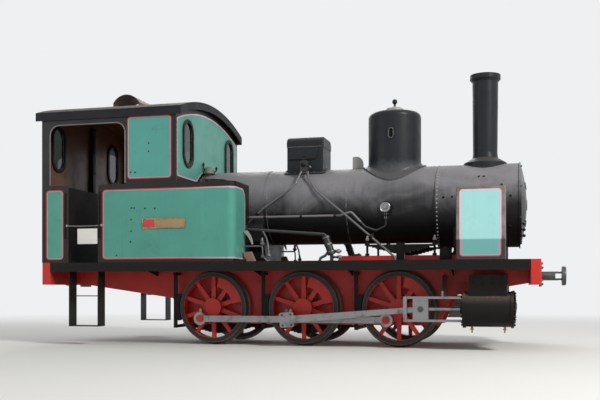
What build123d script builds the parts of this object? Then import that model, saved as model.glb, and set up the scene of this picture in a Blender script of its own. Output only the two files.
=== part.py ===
from build123d import *
from math import cos, radians, sin, sqrt
import os

# Narrow-gauge side-tank steam locomotive with three coupled axles, in millimetres.
# X runs forward, Y to the left-hand side and Z up. The origin lies midway along the length,
# on the centre line, at the lowest point of the wheel flanges.

# Whole engine
length_over_beams = 5830.0
body_half_width = 1100.0
footplate_top = 990.0
footplate_plate = 10.0
valance_depth = 110.0
beam_thickness = 110.0
beam_height = 265.0

# Fits
seat = 0.3
bearing_gap = 1.0
hinge_gap = 0.5

# Frame
frame_plate = 25.0
frame_centre_y = 400.0
frame_bottom = 250.0
frame_raised_top = 1065.0
frame_raised_rear_x = 640.0
frame_raised_front_x = 2480.0
stay_plate = 20.0

# Wheels, axles and motion
axle_table = (("front", 1350.0), ("driven", 220.0), ("rear", -910.0))
flange_radius = 450.0
tread_radius = 425.0
tyre_inner_radius = 368.0
wheel_inner_y = 465.0
tyre_width = 120.0
flange_width = 30.0
axle_radius = 65.0
hub_radius = 112.0
hub_outer_y = 600.0
spoke_count = 10
spoke_root_width = 58.0
spoke_tip_width = 42.0
spoke_depth = 46.0
crank_radius = 190.0
crank_boss_radius = 84.0
crank_pin_radius = 35.0
rod_thickness = 50.0
coupling_rod_y = 640.0
coupling_rod_depth = 76.0
coupling_eye_radius = 78.0
motion_y = 800.0
connecting_rod_length = 1550.0
connecting_big_end = 86.0
connecting_small_end = 50.0
gudgeon_radius = 22.0
piston_rod_radius = 25.0
bar_width = 90.0
bar_depth = 26.0
bar_half_gap = 115.0
slipper_length = 170.0
slipper_depth = 30.0
cheek_plate = 15.0

# Cylinders
cylinder_clearance = 162.0
cylinder_length = 483.0
cylinder_radius = 190.0
cylinder_cover = 30.0

# Boiler
boiler_z = 1685.0
barrel_radius = 460.0
casing_radius = 468.0
firebox_rear_x = -1300.0
firebox_front_x = -310.0
firebox_waist_half = 360.0
firebox_bottom = 640.0
smokebox_rear_x = 1754.0
smokebox_front_x = 2690.0
smokebox_radius = 490.0
smokebox_shell = 12.0
smokebox_ring_radius = 505.0
smokebox_ring = 14.0
door_radius = 440.0
door_opening_radius = 400.0
door_plate = 12.0
door_rise = 58.0
chimney_x = 2300.0
chimney_top = 3200.0
chimney_bore = 112.0
dome_x = 1224.0
dome_radius = 318.0
dome_top = 2805.0
dome_flange_radius = 382.0
sandbox_x = 153.0
sandbox_length = 454.0
sandbox_half_width = 226.0
sandbox_lid_z = 2410.0
sandbox_top = 2535.0
sandbox_wall = 6.0

# Tanks and cab
tank_rear_x = -2167.0
tank_front_x = -460.0
tank_inner_y = 550.0
tank_top = 1915.0
tank_corner_radius = 90.0
filler_x = -800.0
filler_y = 800.0
filler_radius = 110.0
filler_wall = 12.0
filler_height = 45.0
filler_depth = 320.0
sheet = 8.0
cab_rear_x = -2915.0
cab_front_x = -1170.0
door_rear_x = -2564.0
pillar_front_x = -2807.0
cab_opening_front_x = -1817.0
cab_opening_top = 2645.0
cab_opening_radius = 120.0
roof_top = 3005.0
roof_rise = 200.0
roof_overhang = 20.0
roof_rear_x = -2990.0
roof_front_x = -1105.0
roof_fascia = 100.0
roof_rim = 90.0
slot_window_y = 740.0
slot_window_z = 2420.0
slot_window_height = 500.0
slot_window_width = 250.0
rim_width = 40.0
rim_depth = 18.0
glass_plate = 5.0

# Lockers, pipes, springs and couplers
locker_rear_x = 2037.0
locker_front_x = 2552.0
locker_depth = 300.0
locker_top = 1765.0
sand_pipe_radius = 13.0
feed_pipe_radius = 14.0
water_pipe_radius = 21.0
clack_x = 1194.0
clack_z = 1616.0
spring_half_length = 420.0
spring_width = 80.0
leaf_depth = 12.0
leaf_count = 8
buffer_z = 825.0
buffer_radius = 110.0
buffer_reach = 300.0
coupler_pin_radius = 18.0

SIDES = (-1, 1)
beam_inner_x = length_over_beams / 2 - beam_thickness
footplate_under = footplate_top - footplate_plate
frame_inner_y = frame_centre_y - frame_plate / 2
frame_outer_y = frame_centre_y + frame_plate / 2
axle_z = flange_radius
front_x, driven_x, rear_x = [x for _, x in axle_table]
cylinder_rear_x = driven_x + connecting_rod_length + crank_radius + cylinder_clearance
roof_half_width = body_half_width + roof_overhang
smokebox_z = boiler_z + barrel_radius - smokebox_radius
roof_arc_radius = (roof_half_width**2 + roof_rise**2) / (2 * roof_rise)
roof_arc_z = roof_top - roof_arc_radius

# Each side's crank angle, measured upwards from straight ahead, a quarter turn apart.
crank_angle = {-1: -135.0, 1: -45.0}

os.makedirs("parts", exist_ok=True)


def upright(y):
    """Plane along the engine at this y: local x is X, local y is Z, extrudes towards -Y."""
    return Plane.XZ.offset(-y)


def across(x):
    """Plane across the engine at this x: local x is Y, local y is Z, extrudes forward."""
    return Plane.YZ.offset(x)


def outer_y_start(side, inner, outer):
    """Y from which an upright plane extrudes to fill the stretch between inner and outer."""
    return outer if side > 0 else -inner


def roof_height(y, drop):
    """Height of the roof's arc at this y, with the arc's radius smaller by drop."""
    return roof_arc_z + sqrt((roof_arc_radius - drop) ** 2 - y**2)


def crank_place(side):
    """Offset of a crank pin from its axle, as x and z."""
    angle = radians(crank_angle[side])
    return crank_radius * cos(angle), crank_radius * sin(angle)


def finish(piece, label):
    """Label one sub-part and write its STEP file."""
    piece.part.label = label
    export_step(piece.part, f"parts/{label}.step")


# Main frame: two plates with axle windows, a raised stretch in front and cross stays
horn_half_width = 100.0
horn_bottom = 300.0
horn_top = 600.0
spring_pocket_half = 56.0
spring_pocket_bottom = 985.0
frame_top = footplate_under - seat
frame_end_x = beam_inner_x - seat
frame_end_bottom = footplate_top - beam_height + 20
frame_ramp = 60.0
frame_belly = (rear_x - 440, cylinder_rear_x - 332)
frame_upsweep = ((rear_x - 590, 560.0), (cylinder_rear_x - 172, 600.0))
stay_table = (  # x, bottom, top
    (-2250.0, 740.0, 960.0),
    (-1450.0, 640.0, 960.0),
    (-150.0, 640.0, 960.0),
    (785.0, 640.0, 1040.0),
    (1860.0, 620.0, 1050.0),
)

with BuildPart() as main_frame:
    for side in SIDES:
        with BuildSketch(upright(side * frame_centre_y)):
            with BuildLine():
                Polyline(
                    (-frame_end_x, frame_end_bottom),
                    (-frame_end_x, frame_top),
                    (frame_raised_rear_x - frame_ramp, frame_top),
                    (frame_raised_rear_x, frame_raised_top),
                    (frame_raised_front_x, frame_raised_top),
                    (frame_raised_front_x + frame_ramp, frame_top),
                    (frame_end_x, frame_top),
                    (frame_end_x, frame_end_bottom),
                    frame_upsweep[1],
                    (frame_belly[1], frame_bottom),
                    (frame_belly[0], frame_bottom),
                    frame_upsweep[0],
                    close=True,
                )
            make_face()
            for _, axle_x in axle_table:
                with Locations((axle_x, (horn_bottom + horn_top) / 2)):
                    Rectangle(2 * (horn_half_width + seat), horn_top - horn_bottom, mode=Mode.SUBTRACT)
            with Locations((front_x, frame_raised_top)):
                Rectangle(
                    2 * spring_pocket_half,
                    2 * (frame_raised_top - spring_pocket_bottom),
                    mode=Mode.SUBTRACT,
                )
        extrude(amount=frame_plate / 2, both=True)
    for stay_x, stay_bottom, stay_top in stay_table:
        with Locations((stay_x, 0, (stay_bottom + stay_top) / 2)):
            Box(stay_plate, 2 * frame_inner_y + frame_plate, stay_top - stay_bottom)
finish(main_frame, "main_frame")

# Buffer beams: one across each end
with BuildPart() as buffer_beams:
    for end in SIDES:
        with Locations((end * (length_over_beams - beam_thickness) / 2, 0, footplate_top - beam_height / 2)):
            Box(beam_thickness, 2 * body_half_width, beam_height)
    fillet(buffer_beams.edges().filter_by(Axis.Z), 12)
finish(buffer_beams, "buffer_beams")

# Footplate: running boards, cab floor and front deck in one plate with valances and brackets
well_rear_x = firebox_rear_x - 10
well_front_x = smokebox_front_x - 130
well_half_width = 455.0
valance_plate = 10.0
bracket_plate = 12.0
bracket_root = 150.0
bracket_tip = 30.0
bracket_reach = body_half_width - 50
bracket_xs = (-1700.0, -345.0, 785.0, 1960.0)

with BuildPart() as footplate:
    with BuildSketch(Plane.XY.offset(footplate_under)):
        Rectangle(2 * frame_end_x, 2 * body_half_width)
        with Locations(((well_rear_x + well_front_x) / 2, 0)):
            Rectangle(well_front_x - well_rear_x, 2 * well_half_width, mode=Mode.SUBTRACT)
    extrude(amount=footplate_plate)
    for side in SIDES:
        with Locations((0, side * (body_half_width - valance_plate / 2), footplate_top - valance_depth / 2)):
            Box(2 * frame_end_x, valance_plate, valance_depth)
        for bracket_x in bracket_xs:
            with BuildSketch(across(bracket_x)):
                with BuildLine():
                    Polyline(
                        (side * (frame_outer_y + seat), footplate_under),
                        (side * bracket_reach, footplate_under),
                        (side * bracket_reach, footplate_under - bracket_tip),
                        (side * (frame_outer_y + seat), footplate_under - bracket_root),
                        close=True,
                    )
                make_face()
            extrude(amount=bracket_plate / 2, both=True)
finish(footplate, "footplate")

# Boiler barrel: one closed mass with its cladding bands
band_depth = 2.0
band_width = 12.0
band_xs = (firebox_front_x + 40, 712.0, smokebox_rear_x - 40)

with BuildPart() as boiler_barrel:
    with BuildSketch(across(firebox_front_x + seat)):
        with Locations((0, boiler_z)):
            Circle(barrel_radius)
    extrude(amount=smokebox_rear_x - firebox_front_x - 2 * seat)
    for band_x in band_xs:
        with BuildSketch(across(band_x - band_width / 2)):
            with Locations((0, boiler_z)):
                Circle(barrel_radius + band_depth)
        extrude(amount=band_width)
finish(boiler_barrel, "boiler_barrel")

# Firebox casing: round top, straight sides, and a waist that drops between the frames
casing_shoulder_z = 1250.0
casing_waist_z = 1120.0
backhead_flange = 22.0
firehole_z = 1290.0
firehole_radius = 150.0
firehole_ring = 26.0
casing_clear = 2.0


def casing_outline(grow):
    """Outline of the firebox casing across the engine, larger all round by grow."""
    half = casing_radius + grow
    waist = firebox_waist_half + grow
    with BuildSketch() as outline:
        with BuildLine():
            ThreePointArc((-half, boiler_z), (0, boiler_z + half), (half, boiler_z))
            Polyline(
                (half, boiler_z),
                (half, casing_shoulder_z - grow),
                (waist, casing_waist_z - grow),
                (waist, firebox_bottom),
                (-waist, firebox_bottom),
                (-waist, casing_waist_z - grow),
                (-half, casing_shoulder_z - grow),
                (-half, boiler_z),
            )
        make_face()
    return outline.sketch


with BuildPart() as firebox_casing:
    with BuildSketch(across(firebox_rear_x)):
        add(casing_outline(0))
    extrude(amount=firebox_front_x - firebox_rear_x)
    fillet(firebox_casing.faces().sort_by(Axis.X)[0].edges().sort_by(Axis.Z)[-1], backhead_flange)
    with BuildSketch(across(firebox_rear_x)):
        with Locations((0, firehole_z)):
            Circle(firehole_radius)
    extrude(amount=-firehole_ring)
finish(firebox_casing, "firebox_casing")

# Smokebox: open shell with a front ring, the chimney hole and the door's two hinge pins
hinge_y = smokebox_ring_radius - 32
hinge_rise = 220.0
hinge_pin_radius = 10.0
hinge_knuckle_radius = 22.0
hinge_knuckle_length = 50.0
hinge_lug = 26.0
hinge_lug_inner_y = 415.0
ring_front_x = smokebox_front_x + smokebox_ring
hinge_x = ring_front_x + hinge_knuckle_radius + 9

with BuildPart() as smokebox:
    with BuildSketch(across(smokebox_rear_x)):
        with Locations((0, smokebox_z)):
            Circle(smokebox_radius)
            Circle(smokebox_radius - smokebox_shell, mode=Mode.SUBTRACT)
    extrude(amount=smokebox_front_x - smokebox_rear_x)
    with BuildSketch(across(smokebox_front_x)):
        with Locations((0, smokebox_z)):
            Circle(smokebox_ring_radius)
            Circle(door_opening_radius, mode=Mode.SUBTRACT)
    extrude(amount=smokebox_ring)
    with Locations((chimney_x, 0, smokebox_z + smokebox_radius)):
        Cylinder(chimney_bore, 160, mode=Mode.SUBTRACT)
    for level in (-hinge_rise, hinge_rise):
        knuckle_bottom = smokebox_z + level - hinge_knuckle_length / 2 - 3
        with Locations(((smokebox_front_x + hinge_x + 14) / 2, (hinge_lug_inner_y + hinge_y + 15) / 2,
                        knuckle_bottom - hinge_lug / 2)):
            Box(hinge_x + 14 - smokebox_front_x, hinge_y + 15 - hinge_lug_inner_y, hinge_lug)
        with Locations((hinge_x, hinge_y, knuckle_bottom + hinge_knuckle_length / 2)):
            Cylinder(hinge_pin_radius, hinge_knuckle_length + 20)
finish(smokebox, "smokebox")

# Smokebox saddle: between the frames, widened above them, hollowed to the smokebox
saddle_rear_x = 1960.0
saddle_front_x = 2440.0
saddle_bottom = 700.0
saddle_top = 1400.0

with BuildPart() as smokebox_saddle:
    with BuildSketch(across(saddle_rear_x)):
        with BuildLine():
            Polyline(
                (-frame_inner_y + seat, saddle_bottom),
                (-frame_inner_y + seat, frame_raised_top + seat),
                (-frame_outer_y, frame_raised_top + seat),
                (-frame_outer_y, saddle_top),
                (frame_outer_y, saddle_top),
                (frame_outer_y, frame_raised_top + seat),
                (frame_inner_y - seat, frame_raised_top + seat),
                (frame_inner_y - seat, saddle_bottom),
                close=True,
            )
        make_face()
    extrude(amount=saddle_front_x - saddle_rear_x)
    with Locations(((saddle_rear_x + saddle_front_x) / 2, 0, smokebox_z)):
        Cylinder(smokebox_radius + seat, 1000, rotation=(0, 90, 0), mode=Mode.SUBTRACT)
finish(smokebox_saddle, "smokebox_saddle")

# Smokebox door: dished plate with two straps, hinge knuckles and the centre handles
door_back_x = ring_front_x + hinge_gap
strap_depth = 10.0
strap_height = 60.0
strap_inner_y = -180.0
door_boss_radius = 60.0
door_boss_depth = 6.0
latch_table = ((-352.0, -241.0), (-300.0, -305.0), (-215.0, -369.0))  # y, height from the door's middle
latch_stem_radius = 9.0
latch_knob_radius = 19.0
latch_reach = 28.0


def dished_section(start, depth):
    """Half section of the dished door, from start forward, turned about the door's centre line."""
    with BuildSketch() as section:
        with BuildLine():
            back = ThreePointArc(
                (start + door_rise, smokebox_z),
                (start + door_rise * 0.75, smokebox_z + door_radius / 2),
                (start, smokebox_z + door_radius),
            )
            front = ThreePointArc(
                (start + depth, smokebox_z + door_radius),
                (start + depth + door_rise * 0.75, smokebox_z + door_radius / 2),
                (start + depth + door_rise, smokebox_z),
            )
            Line(back @ 1, front @ 0)
            Line(front @ 1, back @ 0)
        make_face()
    return section.sketch


door_axis = Axis((0, 0, smokebox_z), (1, 0, 0))

with BuildPart() as door_straps:
    with BuildSketch(upright(0)):
        add(dished_section(door_back_x + door_plate - 2, strap_depth + 2))
    revolve(axis=door_axis)
    with BuildSketch(across(door_back_x)):
        for level in (-hinge_rise, hinge_rise):
            with Locations(((strap_inner_y + door_radius) / 2, smokebox_z + level)):
                Rectangle(door_radius - strap_inner_y, strap_height)
    extrude(amount=200, mode=Mode.INTERSECT)

with BuildPart() as smokebox_door:
    with BuildSketch(upright(0)):
        add(dished_section(door_back_x, door_plate))
    revolve(axis=door_axis)
    add(door_straps.part)
    arm_inner_y = 340.0
    for level in (-hinge_rise, hinge_rise):
        with Locations((hinge_x - 8, (arm_inner_y + hinge_y) / 2, smokebox_z + level)):
            Box(16, hinge_y - arm_inner_y, hinge_knuckle_length)
        with Locations((hinge_x, hinge_y, smokebox_z + level)):
            Cylinder(hinge_knuckle_radius, hinge_knuckle_length)
            Cylinder(hinge_pin_radius + hinge_gap, 2 * hinge_knuckle_length, mode=Mode.SUBTRACT)
    with Locations((door_back_x + door_plate + door_rise, 0, smokebox_z)):
        Cylinder(door_boss_radius, 2 * door_boss_depth, rotation=(0, 90, 0))
    for latch_y, latch_level in latch_table:
        with Locations((door_back_x + door_plate + latch_reach / 2, latch_y, smokebox_z + latch_level)):
            Cylinder(latch_stem_radius, latch_reach, rotation=(0, 90, 0))
        with Locations((door_back_x + door_plate + latch_reach, latch_y, smokebox_z + latch_level)):
            Sphere(latch_knob_radius)
finish(smokebox_door, "smokebox_door")

# Chimney: base flared to the smokebox, slightly tapered barrel and a rolled cap
chimney_table = (  # outer radius, height above the smokebox's top
    (250.0, -80.0),
    (250.0, 12.0),
    (150.0, 70.0),
    (142.0, 130.0),
    (150.0, 950.0),
    (178.0, 980.0),
    (178.0, 1030.0),
)
smokebox_top = smokebox_z + smokebox_radius
chimney_scale = (chimney_top - smokebox_top) / chimney_table[-1][1]

with BuildPart() as chimney:
    with BuildSketch(upright(0)):
        with BuildLine():
            outline = [(chimney_x + radius, smokebox_top + height * (chimney_scale if height > 0 else 1))
                       for radius, height in chimney_table]
            Polyline(*outline, (chimney_x + chimney_bore, chimney_top),
                     (chimney_x + chimney_bore, outline[0][1]), close=True)
        make_face()
    revolve(axis=Axis((chimney_x, 0, 0), (0, 0, 1)))
    with Locations((chimney_x, 0, smokebox_z)):
        Cylinder(smokebox_radius + seat, 1200, rotation=(0, 90, 0), mode=Mode.SUBTRACT)
finish(chimney, "chimney")

# Steam dome: saddle flange, round body with a rolled shoulder, and the oval boss on each side
dome_shoulder = 65.0
dome_foot = 50.0
dome_flange_depth = 16.0
dome_boss_z = 2518.0
dome_boss_height = 155.0
dome_boss_width = 104.0
dome_boss_depth = 9.0
dome_eye_height = 112.0
dome_eye_width = 50.0
dome_eye_depth = 7.0

with BuildPart() as steam_dome:
    with BuildSketch(Plane.XY.offset(boiler_z)):
        with Locations((dome_x, 0)):
            Circle(dome_flange_radius)
    extrude(amount=dome_top - boiler_z)
    with Locations((dome_x, 0, boiler_z)):
        Cylinder(barrel_radius + dome_flange_depth, 1200, rotation=(0, 90, 0), mode=Mode.INTERSECT)
    with BuildSketch(Plane.XY.offset(boiler_z)):
        with Locations((dome_x, 0)):
            Circle(dome_radius)
    extrude(amount=dome_top - boiler_z)
    foot_edges = [edge for edge in steam_dome.edges()
                  if edge.geom_type not in (GeomType.CIRCLE, GeomType.LINE)
                  and edge.bounding_box().size.X < 2 * dome_radius + 1]
    fillet(foot_edges, dome_foot)
    fillet(steam_dome.edges().filter_by(GeomType.CIRCLE).sort_by(Axis.Z)[-1], dome_shoulder)
    boss_face_y = dome_radius + dome_boss_depth
    with BuildSketch(upright(boss_face_y)):
        with Locations((dome_x, dome_boss_z)):
            SlotOverall(dome_boss_height, dome_boss_width, rotation=90)
    extrude(amount=2 * boss_face_y)
    for side in SIDES:
        with BuildSketch(upright(outer_y_start(side, boss_face_y - dome_eye_depth, boss_face_y))):
            with Locations((dome_x, dome_boss_z)):
                SlotOverall(dome_eye_height, dome_eye_width, rotation=90)
        extrude(amount=dome_eye_depth, mode=Mode.SUBTRACT)
    with Locations((dome_x, 0, boiler_z)):
        Cylinder(barrel_radius + seat, 1200, rotation=(0, 90, 0), mode=Mode.SUBTRACT)
finish(steam_dome, "steam_dome")

# Safety valve: seat on the dome, domed cap, spindle and knob
valve_table = (  # radius, height above the dome
    (104.0, 0.0),
    (104.0, 26.0),
    (98.0, 33.0),
    (60.0, 36.0),
    (16.0, 38.0),
    (14.0, 44.0),
    (12.0, 110.0),
    (20.0, 118.0),
    (30.0, 135.0),
    (30.0, 155.0),
    (22.0, 170.0),
    (0.0, 178.0),
)

with BuildPart() as safety_valve:
    with BuildSketch(upright(0)):
        with BuildLine():
            Polyline(*[(dome_x + radius, dome_top + seat + height) for radius, height in valve_table],
                     (dome_x, dome_top + seat), close=True)
        make_face()
    revolve(axis=Axis((dome_x, 0, 0), (0, 0, 1)))
finish(safety_valve, "safety_valve")

# Sandbox: saddle flange, open box, valve bosses and the lid's hinge pins
sandbox_flange = 32.0
sandbox_flange_depth = 12.0
sandbox_floor = 2190.0
sandbox_boss_x = 182.0
sandbox_boss_z = 2155.0
sandbox_boss_radius = 28.0
sandbox_boss_y = 315.0
hopper_rear_x = -50.0
hopper_top = (330.0, 2400.0, 5.0)  # front x, z, reach
hopper_foot = (290.0, 2262.0, 22.0)
lid_lip = 5.0
lid_hinge_y = sandbox_half_width + lid_lip + 22
lid_hinge_z = sandbox_lid_z + 6
lid_pin_radius = 7.0
lid_knuckle_radius = 13.0
lid_knuckle_length = 60.0
lid_lug = 14.0
lid_hinge_offset = 140.0

with BuildPart() as sand_hoppers:
    with BuildSketch(across(hopper_rear_x)):
        for side in SIDES:
            with BuildLine():
                Polyline(
                    (side * (sandbox_half_width - sandbox_wall / 2), hopper_top[1]),
                    (side * (sandbox_half_width + hopper_top[2]), hopper_top[1]),
                    (side * (sandbox_half_width + hopper_foot[2]), hopper_foot[1]),
                    (side * (sandbox_half_width - sandbox_wall / 2), hopper_foot[1]),
                    close=True,
                )
            make_face()
    extrude(amount=hopper_top[0] - hopper_rear_x)
    with BuildSketch(upright(2 * sandbox_half_width)):
        with BuildLine():
            Polyline(
                (hopper_rear_x, hopper_foot[1]),
                (hopper_foot[0], hopper_foot[1]),
                (hopper_top[0], hopper_top[1]),
                (hopper_rear_x, hopper_top[1]),
                close=True,
            )
        make_face()
    extrude(amount=4 * sandbox_half_width, mode=Mode.INTERSECT)

with BuildPart() as sandbox:
    with BuildSketch(Plane.XY.offset(boiler_z)):
        with Locations((sandbox_x, 0)):
            RectangleRounded(sandbox_length + 2 * sandbox_flange,
                             2 * (sandbox_half_width + sandbox_flange), 40)
    extrude(amount=sandbox_lid_z - boiler_z)
    with Locations((sandbox_x, 0, boiler_z)):
        Cylinder(barrel_radius + sandbox_flange_depth, 1200, rotation=(0, 90, 0), mode=Mode.INTERSECT)
    with BuildSketch(Plane.XY.offset(boiler_z)):
        with Locations((sandbox_x, 0)):
            RectangleRounded(sandbox_length, 2 * sandbox_half_width, 18)
    extrude(amount=sandbox_lid_z - boiler_z)
    with BuildSketch(Plane.XY.offset(sandbox_floor)):
        with Locations((sandbox_x, 0)):
            RectangleRounded(sandbox_length - 2 * sandbox_wall,
                             2 * (sandbox_half_width - sandbox_wall), 12)
    extrude(amount=sandbox_lid_z - sandbox_floor, mode=Mode.SUBTRACT)
    with BuildSketch(upright(sandbox_boss_y)):
        with Locations((sandbox_boss_x, sandbox_boss_z)):
            Circle(sandbox_boss_radius)
    extrude(amount=2 * sandbox_boss_y)
    add(sand_hoppers.part)
    for offset in (-lid_hinge_offset, lid_hinge_offset):
        pin_middle_x = sandbox_x + offset
        for end in SIDES:
            lug_x = pin_middle_x + end * (lid_knuckle_length / 2 + 2 + lid_lug / 2)
            with BuildSketch(across(lug_x - lid_lug / 2)):
                Polygon(
                    (sandbox_half_width - 3, lid_hinge_z - 52),
                    (sandbox_half_width - 3, lid_hinge_z - 12),
                    (lid_hinge_y - 10, lid_hinge_z - 10),
                    (lid_hinge_y - 10, lid_hinge_z + 10),
                    (lid_hinge_y + 10, lid_hinge_z + 10),
                    (lid_hinge_y + 10, lid_hinge_z - 16),
                    align=None,
                )
            extrude(amount=lid_lug)
        with Locations((pin_middle_x, lid_hinge_y, lid_hinge_z)):
            Cylinder(lid_pin_radius, lid_knuckle_length + 4 + 2 * lid_lug, rotation=(0, 90, 0))
    with Locations((sandbox_x, 0, boiler_z)):
        Cylinder(barrel_radius + seat, 1200, rotation=(0, 90, 0), mode=Mode.SUBTRACT)
finish(sandbox, "sandbox")

# Sandbox lid: hollow rounded cover hinged on the left-hand side
lid_round = 80.0
lid_end_round = 20.0
lid_roof = 62.0

with BuildPart() as sandbox_lid:
    lid_depth = sandbox_top - sandbox_lid_z
    with BuildSketch(across(sandbox_x - sandbox_length / 2 - lid_lip)) as lid_profile:
        with Locations((0, sandbox_lid_z + hinge_gap + lid_depth / 2)):
            Rectangle(2 * (sandbox_half_width + lid_lip), lid_depth)
        fillet(lid_profile.vertices().group_by(Axis.Y)[-1], lid_round)
    extrude(amount=sandbox_length + 2 * lid_lip)
    lid_faces = sandbox_lid.faces().sort_by(Axis.X)
    end_edges = [edge for end_face in (lid_faces[0], lid_faces[-1])
                 for edge in end_face.edges().sort_by(Axis.Z)[1:]]
    fillet(end_edges, lid_end_round)
    with BuildSketch(Plane.XY.offset(sandbox_lid_z + hinge_gap)):
        with Locations((sandbox_x, 0)):
            RectangleRounded(sandbox_length - 2 * sandbox_wall,
                             2 * (sandbox_half_width - sandbox_wall), 12)
    extrude(amount=lid_depth - lid_roof, mode=Mode.SUBTRACT)
    for offset in (-lid_hinge_offset, lid_hinge_offset):
        with Locations((sandbox_x + offset, (sandbox_half_width + lid_hinge_y) / 2, lid_hinge_z + 12)):
            Box(lid_knuckle_length, lid_hinge_y - sandbox_half_width, 16)
        with Locations((sandbox_x + offset, lid_hinge_y, lid_hinge_z)):
            Cylinder(lid_knuckle_radius, lid_knuckle_length, rotation=(0, 90, 0))
            Cylinder(lid_pin_radius + hinge_gap, lid_knuckle_length + 2, rotation=(0, 90, 0),
                     mode=Mode.SUBTRACT)
finish(sandbox_lid, "sandbox_lid")

# Sand pipes: on each side a tee at the sandbox's boss, one pipe forward and one to the rear
sand_block = (96.0, 120.0, 66.0)  # width, height, depth
sand_block_y = sandbox_boss_y + seat
sand_top = (31.0, 350.0, 2115.0)  # distance from the boss, y, z
sand_front_foot = (1318.0, 616.0)
sand_rear_foot = (-985.0, 490.0)
sand_foot_bend_z = footplate_top + 45
sand_front_route = (
    (sandbox_boss_x + sand_top[0], *sand_top[1:]),
    (237, 390, 2009),
    (346, 470, 1850),
    (447, 500, 1765),
    (703, 566, 1558),
    (*sand_front_foot, sand_foot_bend_z),
    (*sand_front_foot, footplate_top + seat),
)
sand_rear_route = (
    (sandbox_boss_x - sand_top[0], *sand_top[1:]),
    (100, 450, 1943),
    (33, 480, 1870),
    (-311, 484, 1637),
    (*sand_rear_foot, sand_foot_bend_z),
    (*sand_rear_foot, footplate_top + seat),
)
sand_bend = 40.0

with BuildPart() as sand_pipes:
    for side in SIDES:
        with BuildSketch(upright(outer_y_start(side, sand_block_y, sand_block_y + sand_block[2]))):
            with Locations((sandbox_boss_x, sandbox_boss_z)):
                RectangleRounded(sand_block[0], sand_block[1], 20)
        extrude(amount=sand_block[2])
        for route in (sand_front_route, sand_rear_route):
            with BuildLine() as sand_path:
                FilletPolyline(*[(x, side * y, z) for x, y, z in route], radius=sand_bend)
            with BuildSketch(Plane(origin=sand_path.line @ 0, z_dir=sand_path.line % 0)):
                Circle(sand_pipe_radius)
            sweep(path=sand_path.line)
finish(sand_pipes, "sand_pipes")

# Boiler pipes: feed pipe with its clack valve, and the tank's water pipe, on each side
feed_pipe_y = 514.0
clack_flange_radius = 85.0
clack_flange_y = 476.0
clack_body_radius = 50.0
clack_body_y = 560.0
clack_cap_radius = 62.0
clack_cap_depth = 16.0
feed_route = ((cab_front_x + seat, 1537), (650, 1537), (785, 1578), (950, 1398), (1080, 1352),
              (clack_x, 1400), (clack_x, clack_z))
feed_bend = 45.0
union_table = ((clack_x, 1500.0), (clack_x, 1545.0))  # nuts on the feed pipe below the valve
union_radius = 26.0
union_depth = 24.0
water_pipe_y = 640.0
water_elbow = (500.0, 1307.0)
injector_top = (505.0, 1290.0)
injector_foot = (580.0, 1075.0)
injector_radius = 44.0
injector_knobs = ((660.0, 1112.0, 28.0), (678.0, 1044.0, 26.0))  # x, z, radius
water_route = ((tank_front_x + seat + 8, 1381), water_elbow, injector_foot,
               (injector_foot[0], footplate_top + seat))
water_bend = 40.0
pipe_flange_radius = 52.0
pipe_flange_depth = 16.0

with BuildPart() as boiler_pipes:
    for side in SIDES:
        with BuildSketch(upright(outer_y_start(side, 300, clack_flange_y))):
            with Locations((clack_x, clack_z)):
                Circle(clack_flange_radius)
        extrude(amount=clack_flange_y - 300)
        with Locations((clack_x, 0, boiler_z)):
            Cylinder(barrel_radius + seat, 1200, rotation=(0, 90, 0), mode=Mode.SUBTRACT)
    for side in SIDES:
        with BuildSketch(upright(outer_y_start(side, clack_flange_y - 10, clack_body_y))):
            with Locations((clack_x, clack_z)):
                Circle(clack_body_radius)
        extrude(amount=clack_body_y - clack_flange_y + 10)
        with BuildSketch(upright(outer_y_start(side, clack_body_y, clack_body_y + clack_cap_depth))):
            with Locations((clack_x, clack_z)):
                Circle(clack_cap_radius)
        extrude(amount=clack_cap_depth)
        for union_x, union_z in union_table:
            with Locations((union_x, side * feed_pipe_y, union_z)):
                Cylinder(union_radius, union_depth)
        with BuildLine() as feed_path:
            FilletPolyline(*[(x, side * feed_pipe_y, z) for x, z in feed_route], radius=feed_bend)
        with BuildSketch(Plane(origin=feed_path.line @ 0, z_dir=feed_path.line % 0)):
            Circle(feed_pipe_radius)
        sweep(path=feed_path.line)
        with BuildLine() as water_path:
            FilletPolyline(*[(x, side * water_pipe_y, z) for x, z in water_route], radius=water_bend)
        with BuildSketch(Plane(origin=water_path.line @ 0, z_dir=water_path.line % 0)):
            Circle(water_pipe_radius)
        sweep(path=water_path.line)
        body_line = Line((injector_top[0], side * water_pipe_y, injector_top[1]),
                         (injector_foot[0], side * water_pipe_y, injector_foot[1]), mode=Mode.PRIVATE)
        with BuildSketch(Plane(origin=body_line @ 0, z_dir=body_line % 0)):
            Circle(injector_radius)
        extrude(amount=body_line.length)
        for knob_x, knob_z, knob_radius in injector_knobs:
            with Locations(((injector_foot[0] + knob_x) / 2, side * water_pipe_y, knob_z)):
                Cylinder(knob_radius * 0.55, knob_x - injector_foot[0], rotation=(0, 90, 0))
            with Locations((knob_x, side * water_pipe_y, knob_z)):
                Sphere(knob_radius)
        with BuildSketch(Plane.XY.offset(footplate_top + seat)):
            with Locations((water_route[-1][0], side * water_pipe_y)):
                Circle(pipe_flange_radius)
        extrude(amount=pipe_flange_depth)
        with BuildSketch(across(tank_front_x + seat)):
            with Locations((side * water_pipe_y, water_route[0][1])):
                Circle(pipe_flange_radius)
        extrude(amount=pipe_flange_depth)
finish(boiler_pipes, "boiler_pipes")

# Side tanks: rounded front corner, filler neck over a strainer well, and the lid's hinge pin
filler_lid_radius = filler_radius + filler_wall + 14
filler_lid_z = tank_top + filler_height + hinge_gap
filler_hinge_y = filler_y - filler_lid_radius - 16
filler_pin_radius = 7.0
filler_knuckle_radius = 13.0
filler_knuckle_length = 60.0
filler_lug = 14.0
filler_hinge_z = filler_lid_z + 2

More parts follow.
